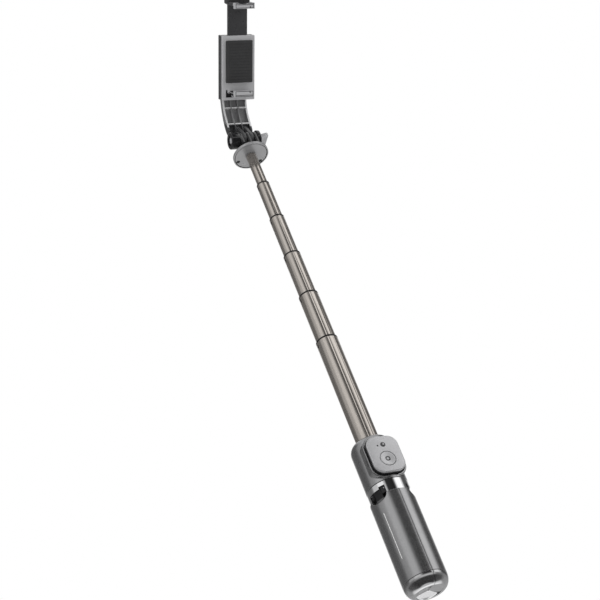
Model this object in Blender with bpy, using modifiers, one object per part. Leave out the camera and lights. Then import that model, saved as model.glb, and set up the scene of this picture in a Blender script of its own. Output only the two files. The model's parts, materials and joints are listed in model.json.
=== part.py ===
"""Telescopic selfie stick: tripod handle, six-section mast, tilting phone clamp and pull-out remote.

Metres, +Z up along the mast, the remote's face towards -Y and +X to its right.
Heights in the handle and mast are above the handle's lower end. One empty carries the whole stick
and puts the middle of the grip at the origin. The head is modelled in its own frame, with the tilt
axis at its origin, +Z towards the upper jaw and -Y towards the phone's screen.
"""
import math

import bmesh
import bpy
from mathutils import Matrix, Vector

GAP = 0.0003                # clearance between neighbouring solids
WELD = 1e-6                 # merge distance
GRIP_HEIGHT = 0.040         # middle of the grip above the handle's lower end

# Handle
LEG_R = 0.0167
LEG_WALL = 0.0020
LEG_HALF_ANGLE = math.radians(59.5)
LEG_AZIMUTHS = {"front_left": -60, "front_right": 60, "back": 180}   # degrees from the front
LEG_TOP = 0.0764
FOOT_HEIGHT = 0.0086
FOOT_RIM_R = 0.0105
FOOT_DISH = 0.0020
SCOOP_LOW = 0.0716
SCOOP_HALF_ANGLE = math.radians(28)
LINER_IN_R = 0.0100
LINER_WALL = 0.0013
LINER_TOP = 0.0740
PIN_R = 0.0010
PIN_HALF = 0.0068
PIN_OUT = 0.0127            # pin axis from the mast axis
PIN_HEIGHT = 0.0810
LUG_R = 0.0024
LUG_HALF = 0.0035
HUB_LOW = 0.0772
HUB_R = 0.0150
SOCKET_R = 0.0142           # socket in the housing for the hub's spigot
SOCKET_TOP = 0.0873
BORE_R = 0.0095             # bore that the mast slides in
BAND_LOW = 0.0768
BAND_TOP = 0.0859
BAND_R = 0.01585
BAND_WALL = 0.00055
NOTCH_TOP = 0.0820
NOTCH_HALF_ANGLE = math.radians(29)
HOUSING_LOW = BAND_TOP + GAP
HOUSING_TOP = 0.1262
HOUSING_R = 0.0160
SHOULDER_LOW = 0.1194
SHOULDER_TOP_R = 0.0108

# Remote and its cradle
REMOTE_SIZE = (0.0252, 0.0306)
REMOTE_CORNER = 0.0080
REMOTE_MID = 0.1046
REMOTE_BACK = 0.0116        # distances in front of the mast axis
REMOTE_SPLIT = 0.0157
REMOTE_FACE = 0.0194
REMOTE_WALL = 0.0012
CRADLE_SIZE = (0.0282, 0.0348)
CRADLE_MID = 0.1048
CRADLE_FACE = 0.0153
BUTTON_R = 0.0060
BUTTON_HEIGHT = 0.1004
LED_AT = (-0.0041, 0.1120)
CELL_R = 0.0080

# Mast, from the largest tube to the smallest
TUBE_R = {6: 0.00890, 5: 0.00805, 4: 0.00715, 3: 0.00630, 2: 0.00550, 1: 0.00455}
TUBE_TOP = {6: 0.2240, 5: 0.2697, 4: 0.3124, 3: 0.3532, 2: 0.3918, 1: 0.4259}
TUBE_WALL = 0.0005
SHORTEST_TUBE = 0.1050      # each larger tube is 2 mm longer than the one inside it
TUBE_STEP = 0.0020
GROOVE_DEPTH = 0.00045
GROOVE_HALF_ANGLE = 16.0    # degrees
BUSH_HEIGHT = 0.0012
PLUG_HEIGHT = 0.0015
WINDOW = (0.0020, 0.0032)   # spring-tab window, across and along the tube
WINDOW_DROP = 0.0045

# Head
DISC_LOW = TUBE_TOP[1]
DISC_R = 0.0155
DISC_THICK = 0.0026
STUB_R = 0.0032             # stub that plugs into the smallest tube
DISC_SCREW_AZIMUTHS = {"left": -124, "right": 124}
DISC_SCREW_OUT = 0.0122
AXLE_RISE = 0.0190          # tilt axis above the disc's underside
PRONG_R = 0.0070
PRONG = 0.0030              # thickness of a prong, which leaves GAP to the next
FIRST_PRONG_X = -0.0033
BOSS_R = 0.0075
BOSS_END = -0.0136
COLLAR_R = 0.0080
WING_HALF = 0.0066
WING_END = 0.0203
TILT = math.radians(54.2)
ARM_HALF = 0.0112
ARM_WALL = 0.0016
ARM_SCREW_X = 0.0062        # screws through the arm's top into the cover
ARM_SCREW_HEIGHT = 0.0460
BODY_HALF = 0.0150
BODY_FRONT = 0.0153         # distances behind the tilt axis, along the head's +Y
BODY_BACK = 0.0230
BODY_WALL = 0.0014
COVER_BACK = 0.0250
REST_FACE = 0.0122          # face that the phone's back lies on
BODY_LOW = 0.0327
BODY_TOP = 0.0880
LIP_FRONT = 0.0015
LIP_BACK = 0.0033
LOWER_JAW = 0.0414          # pad faces, which hold a phone 71.5 mm wide
UPPER_JAW = 0.1129
JAW_LIFT = 0.0044           # jaw's underside below its pad face
PAD = 0.0007
LIP_OVER = 0.0012           # how far a lip reaches over the phone's screen
JAW_HALF = 0.0094
TONGUE_HALF = 0.0086
TONGUE_BACK = 0.0205
ROD_X = 0.0112
ROD_BACK = 0.0190           # rods behind the tilt axis
ROD_R = 0.0010
CAVITY_TOP = 0.0860
SPRING_R = 0.0020
SPRING_WIRE = 0.00035
SPRING_TURNS = 6
CROSSHEAD = (0.0520, 0.0550)

FINISHES = {                # colour, roughness, metallic
    "gunmetal": ((0.16, 0.16, 0.17), 0.35, 0.85),
    "black_plastic": ((0.02, 0.02, 0.02), 0.45, 0.0),
    "black_chrome": ((0.30, 0.30, 0.31), 0.08, 1.0),
    "tube_steel": ((0.34, 0.32, 0.30), 0.25, 1.0),
    "grey_plastic": ((0.42, 0.42, 0.43), 0.45, 0.1),
    "dark_plastic": ((0.07, 0.07, 0.075), 0.45, 0.0),
    "rubber": ((0.05, 0.05, 0.05), 0.80, 0.0),
    "zinc_steel": ((0.60, 0.60, 0.60), 0.30, 1.0),
    "board_green": ((0.03, 0.18, 0.08), 0.50, 0.0),
    "lens": ((0.75, 0.80, 0.85), 0.10, 0.0),
}

PLAN = Matrix.Identity(4)
FRONT = Matrix(((1, 0, 0, 0), (0, 0, -1, 0), (0, 1, 0, 0), (0, 0, 0, 1)))   # outline x, z; rises to -Y
SIDE = Matrix(((0, 0, 1, 0), (1, 0, 0, 0), (0, 1, 0, 0), (0, 0, 0, 1)))     # outline y, z; rises to +X


# ---------------------------------------------------------------- shapes

def link(name, data):
    obj = bpy.data.objects.new(name, data)
    bpy.context.scene.collection.objects.link(obj)
    return obj


def bake(obj):
    """Spend an object's modifiers, or turn a curve into a welded mesh."""
    bpy.context.view_layer.update()
    evaluated = obj.evaluated_get(bpy.context.evaluated_depsgraph_get())
    mesh = bpy.data.meshes.new_from_object(evaluated)
    bm = bmesh.new()
    bm.from_mesh(mesh)
    bmesh.ops.remove_doubles(bm, verts=bm.verts, dist=WELD)
    bmesh.ops.recalc_face_normals(bm, faces=bm.faces)
    bm.to_mesh(mesh)
    bm.free()
    solid = link(obj.name, mesh)
    bpy.data.objects.remove(obj)
    return solid


def from_bmesh(bm):
    bmesh.ops.recalc_face_normals(bm, faces=bm.faces)
    mesh = bpy.data.meshes.new("solid")
    bm.to_mesh(mesh)
    bm.free()
    return link("solid", mesh)


def arc(centre, radii, start, end, steps):
    """Points on an ellipse's arc, in degrees, both ends included."""
    angles = [math.radians(start + (end - start) * i / steps) for i in range(steps + 1)]
    return [(centre[0] + radii[0] * math.cos(a), centre[1] + radii[1] * math.sin(a)) for a in angles]


def circle(radius, centre=(0.0, 0.0), steps=32):
    return arc(centre, (radius, radius), 0, 360, steps)[:-1]


def rounded(size, radius, centre=(0.0, 0.0), steps=4):
    """Outline of a rectangle with round corners."""
    across, up = size[0] / 2 - radius, size[1] / 2 - radius
    points = []
    for turn, (sx, sy) in enumerate(((1, 1), (-1, 1), (-1, -1), (1, -1))):
        corner = (centre[0] + sx * across, centre[1] + sy * up)
        points += arc(corner, (radius, radius), 90 * turn, 90 * turn + 90, steps)
    return points


def bezier(a, b, c, d, steps):
    points = []
    for i in range(steps + 1):
        t = i / steps
        weights = ((1 - t) ** 3, 3 * t * (1 - t) ** 2, 3 * t * t * (1 - t), t ** 3)
        points.append(tuple(sum(w * p[k] for w, p in zip(weights, (a, b, c, d))) for k in (0, 1)))
    return points


def inset(points, distance):
    """An open line moved to its left by a distance."""
    moved = []
    for i, point in enumerate(points):
        ahead, behind = points[min(i + 1, len(points) - 1)], points[max(i - 1, 0)]
        along = Vector((ahead[0] - behind[0], ahead[1] - behind[1])).normalized()
        moved.append((point[0] - along.y * distance, point[1] + along.x * distance))
    return moved


def extrude(outlines, low, high, axes=PLAN):
    """A flat outline, with any holes, made into a solid between two levels."""
    curve = bpy.data.curves.new("outline", "CURVE")
    curve.dimensions = "2D"
    curve.fill_mode = "BOTH"
    curve.extrude = (high - low) / 2
    for outline in outlines:
        spline = curve.splines.new("POLY")
        spline.points.add(len(outline) - 1)
        for point, (x, y) in zip(spline.points, outline):
            point.co = (x, y, 0, 1)
        spline.use_cyclic_u = True
    solid = bake(link("outline", curve))
    solid.data.transform(axes @ Matrix.Translation((0, 0, (low + high) / 2)))
    return solid


def box(low, high):
    bm = bmesh.new()
    size = Vector(high) - Vector(low)
    middle = (Vector(high) + Vector(low)) / 2
    bmesh.ops.create_cube(bm, size=1.0, matrix=Matrix.Translation(middle) @ Matrix.Diagonal((*size, 1)))
    return from_bmesh(bm)


def rod(radius, low, high, axes=PLAN, at=(0.0, 0.0), steps=24):
    bm = bmesh.new()
    place = axes @ Matrix.Translation((at[0], at[1], (low + high) / 2))
    bmesh.ops.create_cone(bm, cap_ends=True, segments=steps, radius1=radius, radius2=radius,
                          depth=high - low, matrix=place)
    return from_bmesh(bm)


def turned(profile, steps=48, axes=PLAN):
    """A profile of (radius, height) points turned about Z; it runs down its outer side."""
    mesh = bpy.data.meshes.new("profile")
    edges = [(i, i + 1) for i in range(len(profile) - 1)]
    if profile[0][0] > 0:
        edges.append((len(profile) - 1, 0))
    mesh.from_pydata([(r, 0, z) for r, z in profile], edges, [])
    obj = link("profile", mesh)
    screw = obj.modifiers.new("turn", "SCREW")
    screw.steps = steps
    screw.render_steps = steps
    screw.use_merge_vertices = True
    screw.merge_threshold = WELD
    solid = bake(obj)
    solid.data.transform(axes)
    return solid


def sector(profile, half_angle, steps, middle=0.0):
    """A closed profile swept part of a turn about Z, its middle at an angle from +X."""
    bm = bmesh.new()
    face = bm.faces.new([bm.verts.new((r, 0, z)) for r, z in profile])
    bmesh.ops.rotate(bm, verts=bm.verts, cent=(0, 0, 0),
                     matrix=Matrix.Rotation(middle - half_angle, 3, "Z"))
    bmesh.ops.spin(bm, geom=[face], cent=(0, 0, 0), axis=(0, 0, 1), angle=2 * half_angle, steps=steps)
    return from_bmesh(bm)


def ring_section(inner, outer, low, high):
    return [(inner, low), (outer, low), (outer, high), (inner, high)]


def boolean(obj, others, operation):
    for other in others:
        modifier = obj.modifiers.new("boolean", "BOOLEAN")
        modifier.operation = operation
        modifier.object = other
        name = obj.name
        obj = bake(obj)
        obj.name = name
        bpy.data.objects.remove(other)
    return obj


def cut(obj, *cutters):
    return boolean(obj, cutters, "DIFFERENCE")


def join(obj, *others):
    return boolean(obj, others, "UNION")


def bevel(obj, width, segments=1, angle=50):
    modifier = obj.modifiers.new("bevel", "BEVEL")
    modifier.width = width
    modifier.segments = segments
    modifier.limit_method = "ANGLE"
    modifier.angle_limit = math.radians(angle)
    return bake(obj)


def spin_about_mast(obj, azimuth):
    """Turn a piece made towards +X to an azimuth in degrees from the front (-Y)."""
    obj.data.transform(Matrix.Rotation(math.radians(azimuth - 90), 4, "Z"))
    return obj


# ---------------------------------------------------------------- assembly

def make_collection(name):
    collection = bpy.data.collections.new(name)
    bpy.context.scene.collection.children.link(collection)
    return collection


def make_materials():
    for name, (colour, roughness, metallic) in FINISHES.items():
        material = bpy.data.materials.new(name)
        material.use_nodes = True
        shader = material.node_tree.nodes["Principled BSDF"]
        shader.inputs["Base Color"].default_value = (*colour, 1)
        shader.inputs["Roughness"].default_value = roughness
        shader.inputs["Metallic"].default_value = metallic


def pivot(name, location, parent=None, tilt=0.0, turn=0.0):
    """An empty on a joint's axis, given where it is under its parent."""
    empty = bpy.data.objects.new(name, None)
    bpy.data.collections["selfie_stick"].objects.link(empty)
    empty.parent = parent
    empty.location = location
    empty.rotation_euler = (tilt, 0, turn)
    empty.empty_display_size = 0.01
    return empty


def place(name, obj, finish, parent):
    """Name a solid, give it its finish and hang it on its empty without moving it in the empty's frame."""
    obj.name = name
    obj.data.name = name
    obj.data.materials.clear()
    obj.data.materials.append(bpy.data.materials[finish])
    obj.data.shade_smooth()
    obj.data.set_sharp_from_angle(angle=math.radians(35))
    for collection in list(obj.users_collection):
        collection.objects.unlink(obj)
    bpy.data.collections["selfie_stick"].objects.link(obj)
    obj.parent = parent
    return obj


def place_from_stick(name, obj, finish, parent):
    """Like place, for a solid made in the stick's frame whose empty stands elsewhere in that frame."""
    offset = Matrix.LocRotScale(parent.location, parent.rotation_euler, None)
    obj.data.transform(offset.inverted())
    return place(name, obj, finish, parent)


# ---------------------------------------------------------------- tripod handle

def make_leg(side, azimuth, stick):
    turn = math.radians(azimuth - 90)
    pin_place = (PIN_OUT * math.cos(turn), PIN_OUT * math.sin(turn), PIN_HEIGHT)
    hinge = pivot(f"leg_{side}_hinge", pin_place, stick, turn=turn)

    low = FOOT_HEIGHT + GAP
    shell = sector(ring_section(LEG_R - LEG_WALL, LEG_R, low, LEG_TOP), LEG_HALF_ANGLE, 12)
    scoop = sector(ring_section(LEG_R - 0.004, LEG_R + 0.002, SCOOP_LOW, LEG_TOP + 0.002),
                   SCOOP_HALF_ANGLE, 8)
    shell = cut(shell, scoop)

    liner = sector(ring_section(LINER_IN_R, LEG_R - LEG_WALL - GAP, low, LINER_TOP), math.radians(57), 8)
    trough = sector(ring_section(LINER_IN_R + LINER_WALL, LEG_R, 0.0120, LINER_TOP - 0.0040),
                    math.radians(53), 8)
    liner = cut(liner, trough)
    lug_outline = arc((PIN_OUT, PIN_HEIGHT), (LUG_R, LUG_R), 0, 180, 8)
    lug_low, lug_out = PIN_HEIGHT - 0.0075, PIN_OUT + 0.0016
    lug_outline += [(PIN_OUT - LUG_R, lug_low), (lug_out, lug_low), (lug_out, PIN_HEIGHT - LUG_R)]
    lug = extrude([lug_outline], -LUG_HALF, LUG_HALF, FRONT)
    liner = join(liner, lug)
    eye = rod(PIN_R + GAP, -LUG_HALF - 0.001, LUG_HALF + 0.001, FRONT, (PIN_OUT, PIN_HEIGHT), 10)
    liner = cut(liner, eye)

    foot_profile = [(0.0003, FOOT_DISH)]
    foot_profile += arc((FOOT_RIM_R, FOOT_HEIGHT), (LEG_R - FOOT_RIM_R, FOOT_HEIGHT), -90, 0, 5)
    foot_profile += [(0.0003, FOOT_HEIGHT)]
    foot = sector(foot_profile, LEG_HALF_ANGLE, 12)

    pin = rod(PIN_R, -PIN_HALF, PIN_HALF, FRONT, (PIN_OUT, PIN_HEIGHT), 10)
    for kind, solid, finish in (("leg", shell, "gunmetal"), ("leg_liner", liner, "black_plastic"),
                                ("foot_pad", foot, "gunmetal")):
        place_from_stick(f"{kind}_{side}", spin_about_mast(solid, azimuth), finish, hinge)
    place(f"leg_pin_{side}", spin_about_mast(pin, azimuth), "zinc_steel", stick)


def make_hub(stick):
    inner = BORE_R + 0.0002
    spigot_r = SOCKET_R - GAP
    spigot_top = SOCKET_TOP - GAP
    profile = [(inner, spigot_top), (spigot_r, spigot_top), (spigot_r, BAND_TOP), (HUB_R, BAND_TOP),
               (HUB_R, HUB_LOW), (inner, HUB_LOW)]
    hub = turned(profile, 36)
    for azimuth in LEG_AZIMUTHS.values():
        slot = box((BORE_R - 0.0015, -LUG_HALF - GAP, HUB_LOW - 0.001),
                   (HUB_R + 0.002, LUG_HALF + GAP, PIN_HEIGHT + LUG_R + 0.0006))
        hole = rod(PIN_R + GAP, -PIN_HALF - GAP, PIN_HALF + GAP, FRONT, (PIN_OUT, PIN_HEIGHT), 10)
        hub = cut(hub, spin_about_mast(slot, azimuth), spin_about_mast(hole, azimuth))
    place("tripod_hub", hub, "black_plastic", stick)


def make_band(stick):
    band = turned([(BAND_R - BAND_WALL, BAND_TOP), (BAND_R, BAND_TOP), (BAND_R, BAND_LOW),
                   (BAND_R - BAND_WALL, BAND_LOW)], 48)
    for azimuth in LEG_AZIMUTHS.values():
        notch = sector(ring_section(BAND_R - 0.002, BAND_R + 0.002, BAND_LOW - 0.001, NOTCH_TOP),
                       NOTCH_HALF_ANGLE, 6)
        band = cut(band, spin_about_mast(notch, azimuth))
    place("trim_band", band, "black_chrome", stick)


def make_housing(stick):
    """Round body: solid behind the remote's cradle, hollow at the back, open below for the hub."""
    profile = [(BORE_R, HOUSING_TOP)]
    profile += arc((SHOULDER_TOP_R, SHOULDER_LOW),
                   (HOUSING_R - SHOULDER_TOP_R, HOUSING_TOP - SHOULDER_LOW), 90, 0, 6)
    profile += [(HOUSING_R, HOUSING_LOW), (BORE_R, HOUSING_LOW)]
    housing = turned(profile, 36)
    cradle = extrude([rounded(CRADLE_SIZE, REMOTE_CORNER + 0.0010, (0, CRADLE_MID))],
                     0.0080, CRADLE_FACE, FRONT)
    cradle = bevel(cradle, 0.0006, 1, 60)
    pocket_size = tuple(side + 2 * 0.00035 for side in REMOTE_SIZE)
    pocket = extrude([rounded(pocket_size, REMOTE_CORNER, (0, REMOTE_MID))],
                     REMOTE_BACK - GAP, 0.025, FRONT)
    bore = rod(BORE_R, 0.080, 0.140, steps=36)
    socket = rod(SOCKET_R, 0.080, SOCKET_TOP, steps=36)
    hollow = sector(ring_section(BORE_R + 0.0014, SOCKET_R, SOCKET_TOP - 0.0008, 0.1180),
                    math.radians(105), 15, math.radians(90))
    place("housing_shell", cut(join(housing, cradle), bore, socket, pocket, hollow), "gunmetal", stick)


# ---------------------------------------------------------------- remote

def make_remote(stick):
    remote = pivot("remote_slide", (0, -REMOTE_BACK, REMOTE_MID), stick)
    outline = rounded(REMOTE_SIZE, REMOTE_CORNER, (0, REMOTE_MID))
    inner = rounded([side - 2 * REMOTE_WALL for side in REMOTE_SIZE], REMOTE_CORNER - REMOTE_WALL,
                    (0, REMOTE_MID))

    back = extrude([outline], REMOTE_BACK, REMOTE_SPLIT - GAP, FRONT)
    tray = extrude([inner], REMOTE_BACK + REMOTE_WALL, REMOTE_SPLIT + 0.001, FRONT)
    hatch = rod(CELL_R + 0.0009, 0.0, 0.0135, FRONT, (0, REMOTE_MID), 32)
    place_from_stick("remote_back", cut(back, tray, hatch), "dark_plastic", remote)

    face = bevel(extrude([outline], REMOTE_SPLIT, REMOTE_FACE, FRONT), 0.0008, 1, 60)
    hollow = extrude([inner], REMOTE_SPLIT - 0.001, REMOTE_FACE - REMOTE_WALL, FRONT)
    button_hole = rod(BUTTON_R + GAP, 0.015, 0.021, FRONT, (0, BUTTON_HEIGHT), 32)
    led_hole = rod(0.0009, 0.015, 0.021, FRONT, LED_AT, 12)
    place_from_stick("remote_face", cut(face, hollow, button_hole, led_hole), "grey_plastic", remote)

    front, flange_front, flange_back = REMOTE_FACE + 0.0001, 0.0179, 0.0171
    button_profile = [(0.0, front), (BUTTON_R - 0.0005, front), (BUTTON_R, front - 0.0004),
                      (BUTTON_R, flange_front), (BUTTON_R + 0.0008, flange_front),
                      (BUTTON_R + 0.0008, flange_back), (0.0, flange_back)]
    button = turned(button_profile, 32, FRONT @ Matrix.Translation((0, BUTTON_HEIGHT, 0)))
    press = pivot("button_press", (0, -flange_back, BUTTON_HEIGHT), stick)
    place_from_stick("shutter_button", button, "grey_plastic", press)
    press.parent = remote
    press.location = Vector(press.location) - Vector(remote.location)

    lens = rod(0.0006, REMOTE_FACE - 0.0020, REMOTE_FACE, FRONT, LED_AT, 12)
    board = extrude([rounded((0.0216, 0.0270), 0.0060, (0, REMOTE_MID), 3)], 0.0149, 0.0157, FRONT)
    cell = rod(CELL_R, 0.0126, 0.0146, FRONT, (0, REMOTE_MID), 32)
    door = rod(CELL_R + 0.0006, REMOTE_BACK, 0.0123, FRONT, (0, REMOTE_MID), 32)
    place_from_stick("remote_led", lens, "lens", remote)
    place_from_stick("remote_board", board, "board_green", remote)
    place_from_stick("remote_cell", cell, "zinc_steel", remote)
    place_from_stick("cell_door", door, "dark_plastic", remote)


# ---------------------------------------------------------------- mast

def tube_outline(radius, steps=24):
    """Round outline with the shallow key groove along the front."""
    points = []
    for i in range(steps):
        azimuth = -180 + 360 * (i + 0.5) / steps
        depth = GROOVE_DEPTH if abs(azimuth) < GROOVE_HALF_ANGLE else 0.0
        angle = math.radians(azimuth - 90)
        points.append(((radius - depth) * math.cos(angle), (radius - depth) * math.sin(angle)))
    return points


def make_mast(stick):
    """Six nested tubes, each on the slide empty of the one outside it; returns the last empty."""
    parent = stick
    floor = 0.0
    for number in sorted(TUBE_R, reverse=True):
        radius = TUBE_R[number]
        top = TUBE_TOP[number]
        bottom = top - (SHORTEST_TUBE + TUBE_STEP * (number - 1))
        slide = pivot(f"tube_{number}_slide", (0, 0, bottom - floor), parent)
        tube_top = top - GAP if number == 1 else top - BUSH_HEIGHT - GAP
        outlines = [tube_outline(radius), tube_outline(radius - TUBE_WALL)]
        tube = extrude(outlines, bottom + PLUG_HEIGHT + GAP, tube_top)
        if number > 1:
            level = top - WINDOW_DROP
            window = box((-0.012, -WINDOW[0] / 2, level - WINDOW[1] / 2),
                         (0.012, WINDOW[0] / 2, level + WINDOW[1] / 2))
            tube = cut(tube, window)
            opening = circle(TUBE_R[number - 1] + GAP, steps=24)
            bush = extrude([circle(radius, steps=24), opening], top - BUSH_HEIGHT, top)
            bush.data.transform(Matrix.Translation((0, 0, -bottom)))
            place(f"mouth_bush_{number}", bush, "black_plastic", slide)
        plug = extrude([circle(radius - 0.0005, steps=24), circle(radius - 0.0018, steps=24)],
                       bottom, bottom + PLUG_HEIGHT)
        for name, solid, finish in (("tube", tube, "tube_steel"), ("tube_plug", plug, "black_plastic")):
            solid.data.transform(Matrix.Translation((0, 0, -bottom)))
            place(f"{name}_{number}", solid, finish, slide)
        parent = slide
        floor = bottom
    return parent, floor


# ---------------------------------------------------------------- knuckle on the cap disc

def make_cap(mast_end):
    rim = 0.0012
    profile = [(0.0, DISC_LOW + DISC_THICK), (DISC_R - 0.0006, DISC_LOW + DISC_THICK),
               (DISC_R, DISC_LOW + DISC_THICK - 0.0006), (DISC_R, DISC_LOW), (DISC_R - rim, DISC_LOW),
               (DISC_R - rim - 0.0003, DISC_LOW + 0.0004), (STUB_R, DISC_LOW + 0.0004),
               (STUB_R, DISC_LOW - 0.0080), (0.0, DISC_LOW - 0.0080)]
    disc = turned(profile, 36)
    for side, azimuth in DISC_SCREW_AZIMUTHS.items():
        head_hole = rod(0.0016, DISC_LOW - 0.001, DISC_LOW + 0.0012, at=(DISC_SCREW_OUT, 0), steps=12)
        shank_hole = rod(0.0010, DISC_LOW, DISC_LOW + 0.0020, at=(DISC_SCREW_OUT, 0), steps=12)
        disc = cut(disc, spin_about_mast(head_hole, azimuth), spin_about_mast(shank_hole, azimuth))
        screw = turned([(0.0, DISC_LOW + 0.0018), (0.0007, DISC_LOW + 0.0018), (0.0007, DISC_LOW + 0.0009),
                        (0.0013, DISC_LOW + 0.0009), (0.0013, DISC_LOW + 0.0003), (0.0, DISC_LOW + 0.0003)],
                       12)
        screw.data.transform(Matrix.Translation((DISC_SCREW_OUT, 0, 0)))
        place_in_mast(f"disc_screw_{side}", spin_about_mast(screw, azimuth), "black_plastic", mast_end)
    place_in_mast("cap_disc", disc, "grey_plastic", mast_end)


def place_in_mast(name, obj, finish, mast_end):
    slide, floor = mast_end
    obj.data.transform(Matrix.Translation((0, 0, -floor)))
    return place(name, obj, finish, slide)


def prong_x(index):
    """The two faces of prong 0 to 4, counted from the nut boss; the arm has prongs 0 and 2."""
    low = FIRST_PRONG_X + index * (PRONG + GAP)
    return low, low + PRONG


def make_knuckle(mast_end):
    axle = DISC_LOW + AXLE_RISE
    base_low = DISC_LOW + DISC_THICK + GAP
    outline = arc((0, axle), (PRONG_R, PRONG_R), 0, 180, 12) + [(-PRONG_R, base_low), (PRONG_R, base_low)]
    first_low = FIRST_PRONG_X - GAP - PRONG
    last_high = prong_x(3)[1]
    knuckle = extrude([outline], first_low, last_high, SIDE)
    for index in (0, 2):
        low, high = prong_x(index)
        slot = box((low - GAP, -PRONG_R - 0.001, axle - PRONG_R - 0.0016),
                   (high + GAP, PRONG_R + 0.001, axle + PRONG_R + 0.001))
        knuckle = cut(knuckle, slot)
    boss = rod(BOSS_R, BOSS_END, first_low + 0.0010, SIDE, (0, axle), 32)
    bore = rod(0.0028, BOSS_END - 0.001, last_high + 0.001, SIDE, (0, axle), 20)
    nut_pocket = rod(0.0051, BOSS_END - 0.001, BOSS_END + 0.0052, SIDE, (0, axle), 6)
    place_in_mast("knuckle_base", cut(join(knuckle, boss), bore, nut_pocket), "dark_plastic", mast_end)

    nut = cut(rod(0.0046, BOSS_END + 0.0010, BOSS_END + 0.0049, SIDE, (0, axle), 6),
              rod(0.0028, BOSS_END, BOSS_END + 0.0060, SIDE, (0, axle), 20))
    place_in_mast("hinge_nut", nut, "zinc_steel", mast_end)

    collar_low = prong_x(4)[0]
    collar_high = collar_low + PRONG
    screw = join(rod(0.0024, BOSS_END + 0.0006, collar_low + 0.0005, SIDE, (0, axle), 20),
                 rod(COLLAR_R, collar_low, collar_high, SIDE, (0, axle), 28))
    root, corner_r = 0.0050, 0.0015
    corner = (WING_END - corner_r, WING_HALF - corner_r)
    paddle = [(collar_high - 0.0005, -root), (collar_high + 0.0012, -root)]
    paddle += arc((corner[0], -corner[1]), (corner_r, corner_r), -105, 0, 4)
    paddle += arc(corner, (corner_r, corner_r), 0, 105, 4)
    paddle += [(collar_high + 0.0012, root), (collar_high - 0.0005, root)]
    screw = join(screw, extrude([paddle], axle - 0.0017, axle + 0.0017))
    slide, floor = mast_end
    turn = pivot("wing_screw_turn", (collar_low, 0, axle - floor), slide)
    screw.data.transform(Matrix.Translation((-collar_low, 0, -axle)))
    place("wing_screw", screw, "grey_plastic", turn)
    return pivot("head_tilt", (0, 0, axle - floor), slide, tilt=TILT)


# ---------------------------------------------------------------- tilting arm and phone clamp

def make_arm(head):
    """Ribbed channel, open to the front, bowed backwards from the knuckle to the clamp's cover."""
    foot_back, foot_front = (0.0100, 0.0015), (0.0098, 0.0070)
    top_back, top_front = (0.0345, 0.0520), (COVER_BACK + GAP, 0.0520)
    back_edge = bezier(foot_back, (0.0205, 0.0045), (0.0330, 0.0250), top_back, 12)
    front_edge = bezier(foot_front, (0.0130, 0.0120), (0.0252, 0.0210), (COVER_BACK + GAP, 0.0330), 8)
    arm = extrude([back_edge + [top_front] + front_edge[::-1]], -ARM_HALF, ARM_HALF, SIDE)

    floor_edge = [point for point in inset(back_edge, 0.0019) if point[1] < 0.0370]
    channel = floor_edge + [(0.0200, 0.0370), (0.0050, 0.0100), (0.0050, 0.0032)]
    bays = ((-ARM_HALF + ARM_WALL, -0.0043), (-0.0031, 0.0021), (0.0033, ARM_HALF - ARM_WALL))
    for low, high in bays:
        arm = cut(arm, extrude([channel], low, high, SIDE))
    ribs = [rib_bar((0.0262, 0.0236)), rib_bar((0.0150, 0.0122))]
    arm = join(arm, *ribs)
    for index in (0, 2):
        low, high = prong_x(index)
        prong = arc((0, 0), (PRONG_R, PRONG_R), 110, 315, 12) + [(0.0130, 0.0020), (0.0130, 0.0100)]
        arm = join(arm, extrude([prong], low, high, SIDE))
    arm = cut(arm, rod(0.0027, -0.006, 0.008, SIDE, steps=20))
    for side, x in (("left", -ARM_SCREW_X), ("right", ARM_SCREW_X)):
        at = (x, ARM_SCREW_HEIGHT)
        shank_hole = rod(0.0014, -0.0400, -0.0240, FRONT, at, 12)
        head_hole = rod(0.0026, -0.0400, -0.0315, FRONT, at, 16)
        arm = cut(arm, shank_hole, head_hole)
        screw = join(rod(0.0011, -0.0320, -0.0236, FRONT, at, 12),
                     rod(0.0022, -0.0334, -0.0318, FRONT, at, 16))
        place(f"arm_screw_{side}", screw, "zinc_steel", head)
    place("tilt_arm", arm, "dark_plastic", head)


def rib_bar(at, depth=0.0062, thick=0.0010):
    """Cross rib of the channel, square to its floor."""
    bar = box((-ARM_HALF + 0.0008, -depth / 2, -thick / 2), (ARM_HALF - 0.0008, depth / 2, thick / 2))
    bar.data.transform(Matrix.Translation((0, *at)) @ Matrix.Rotation(math.radians(-28), 4, "X"))
    return bar


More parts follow.
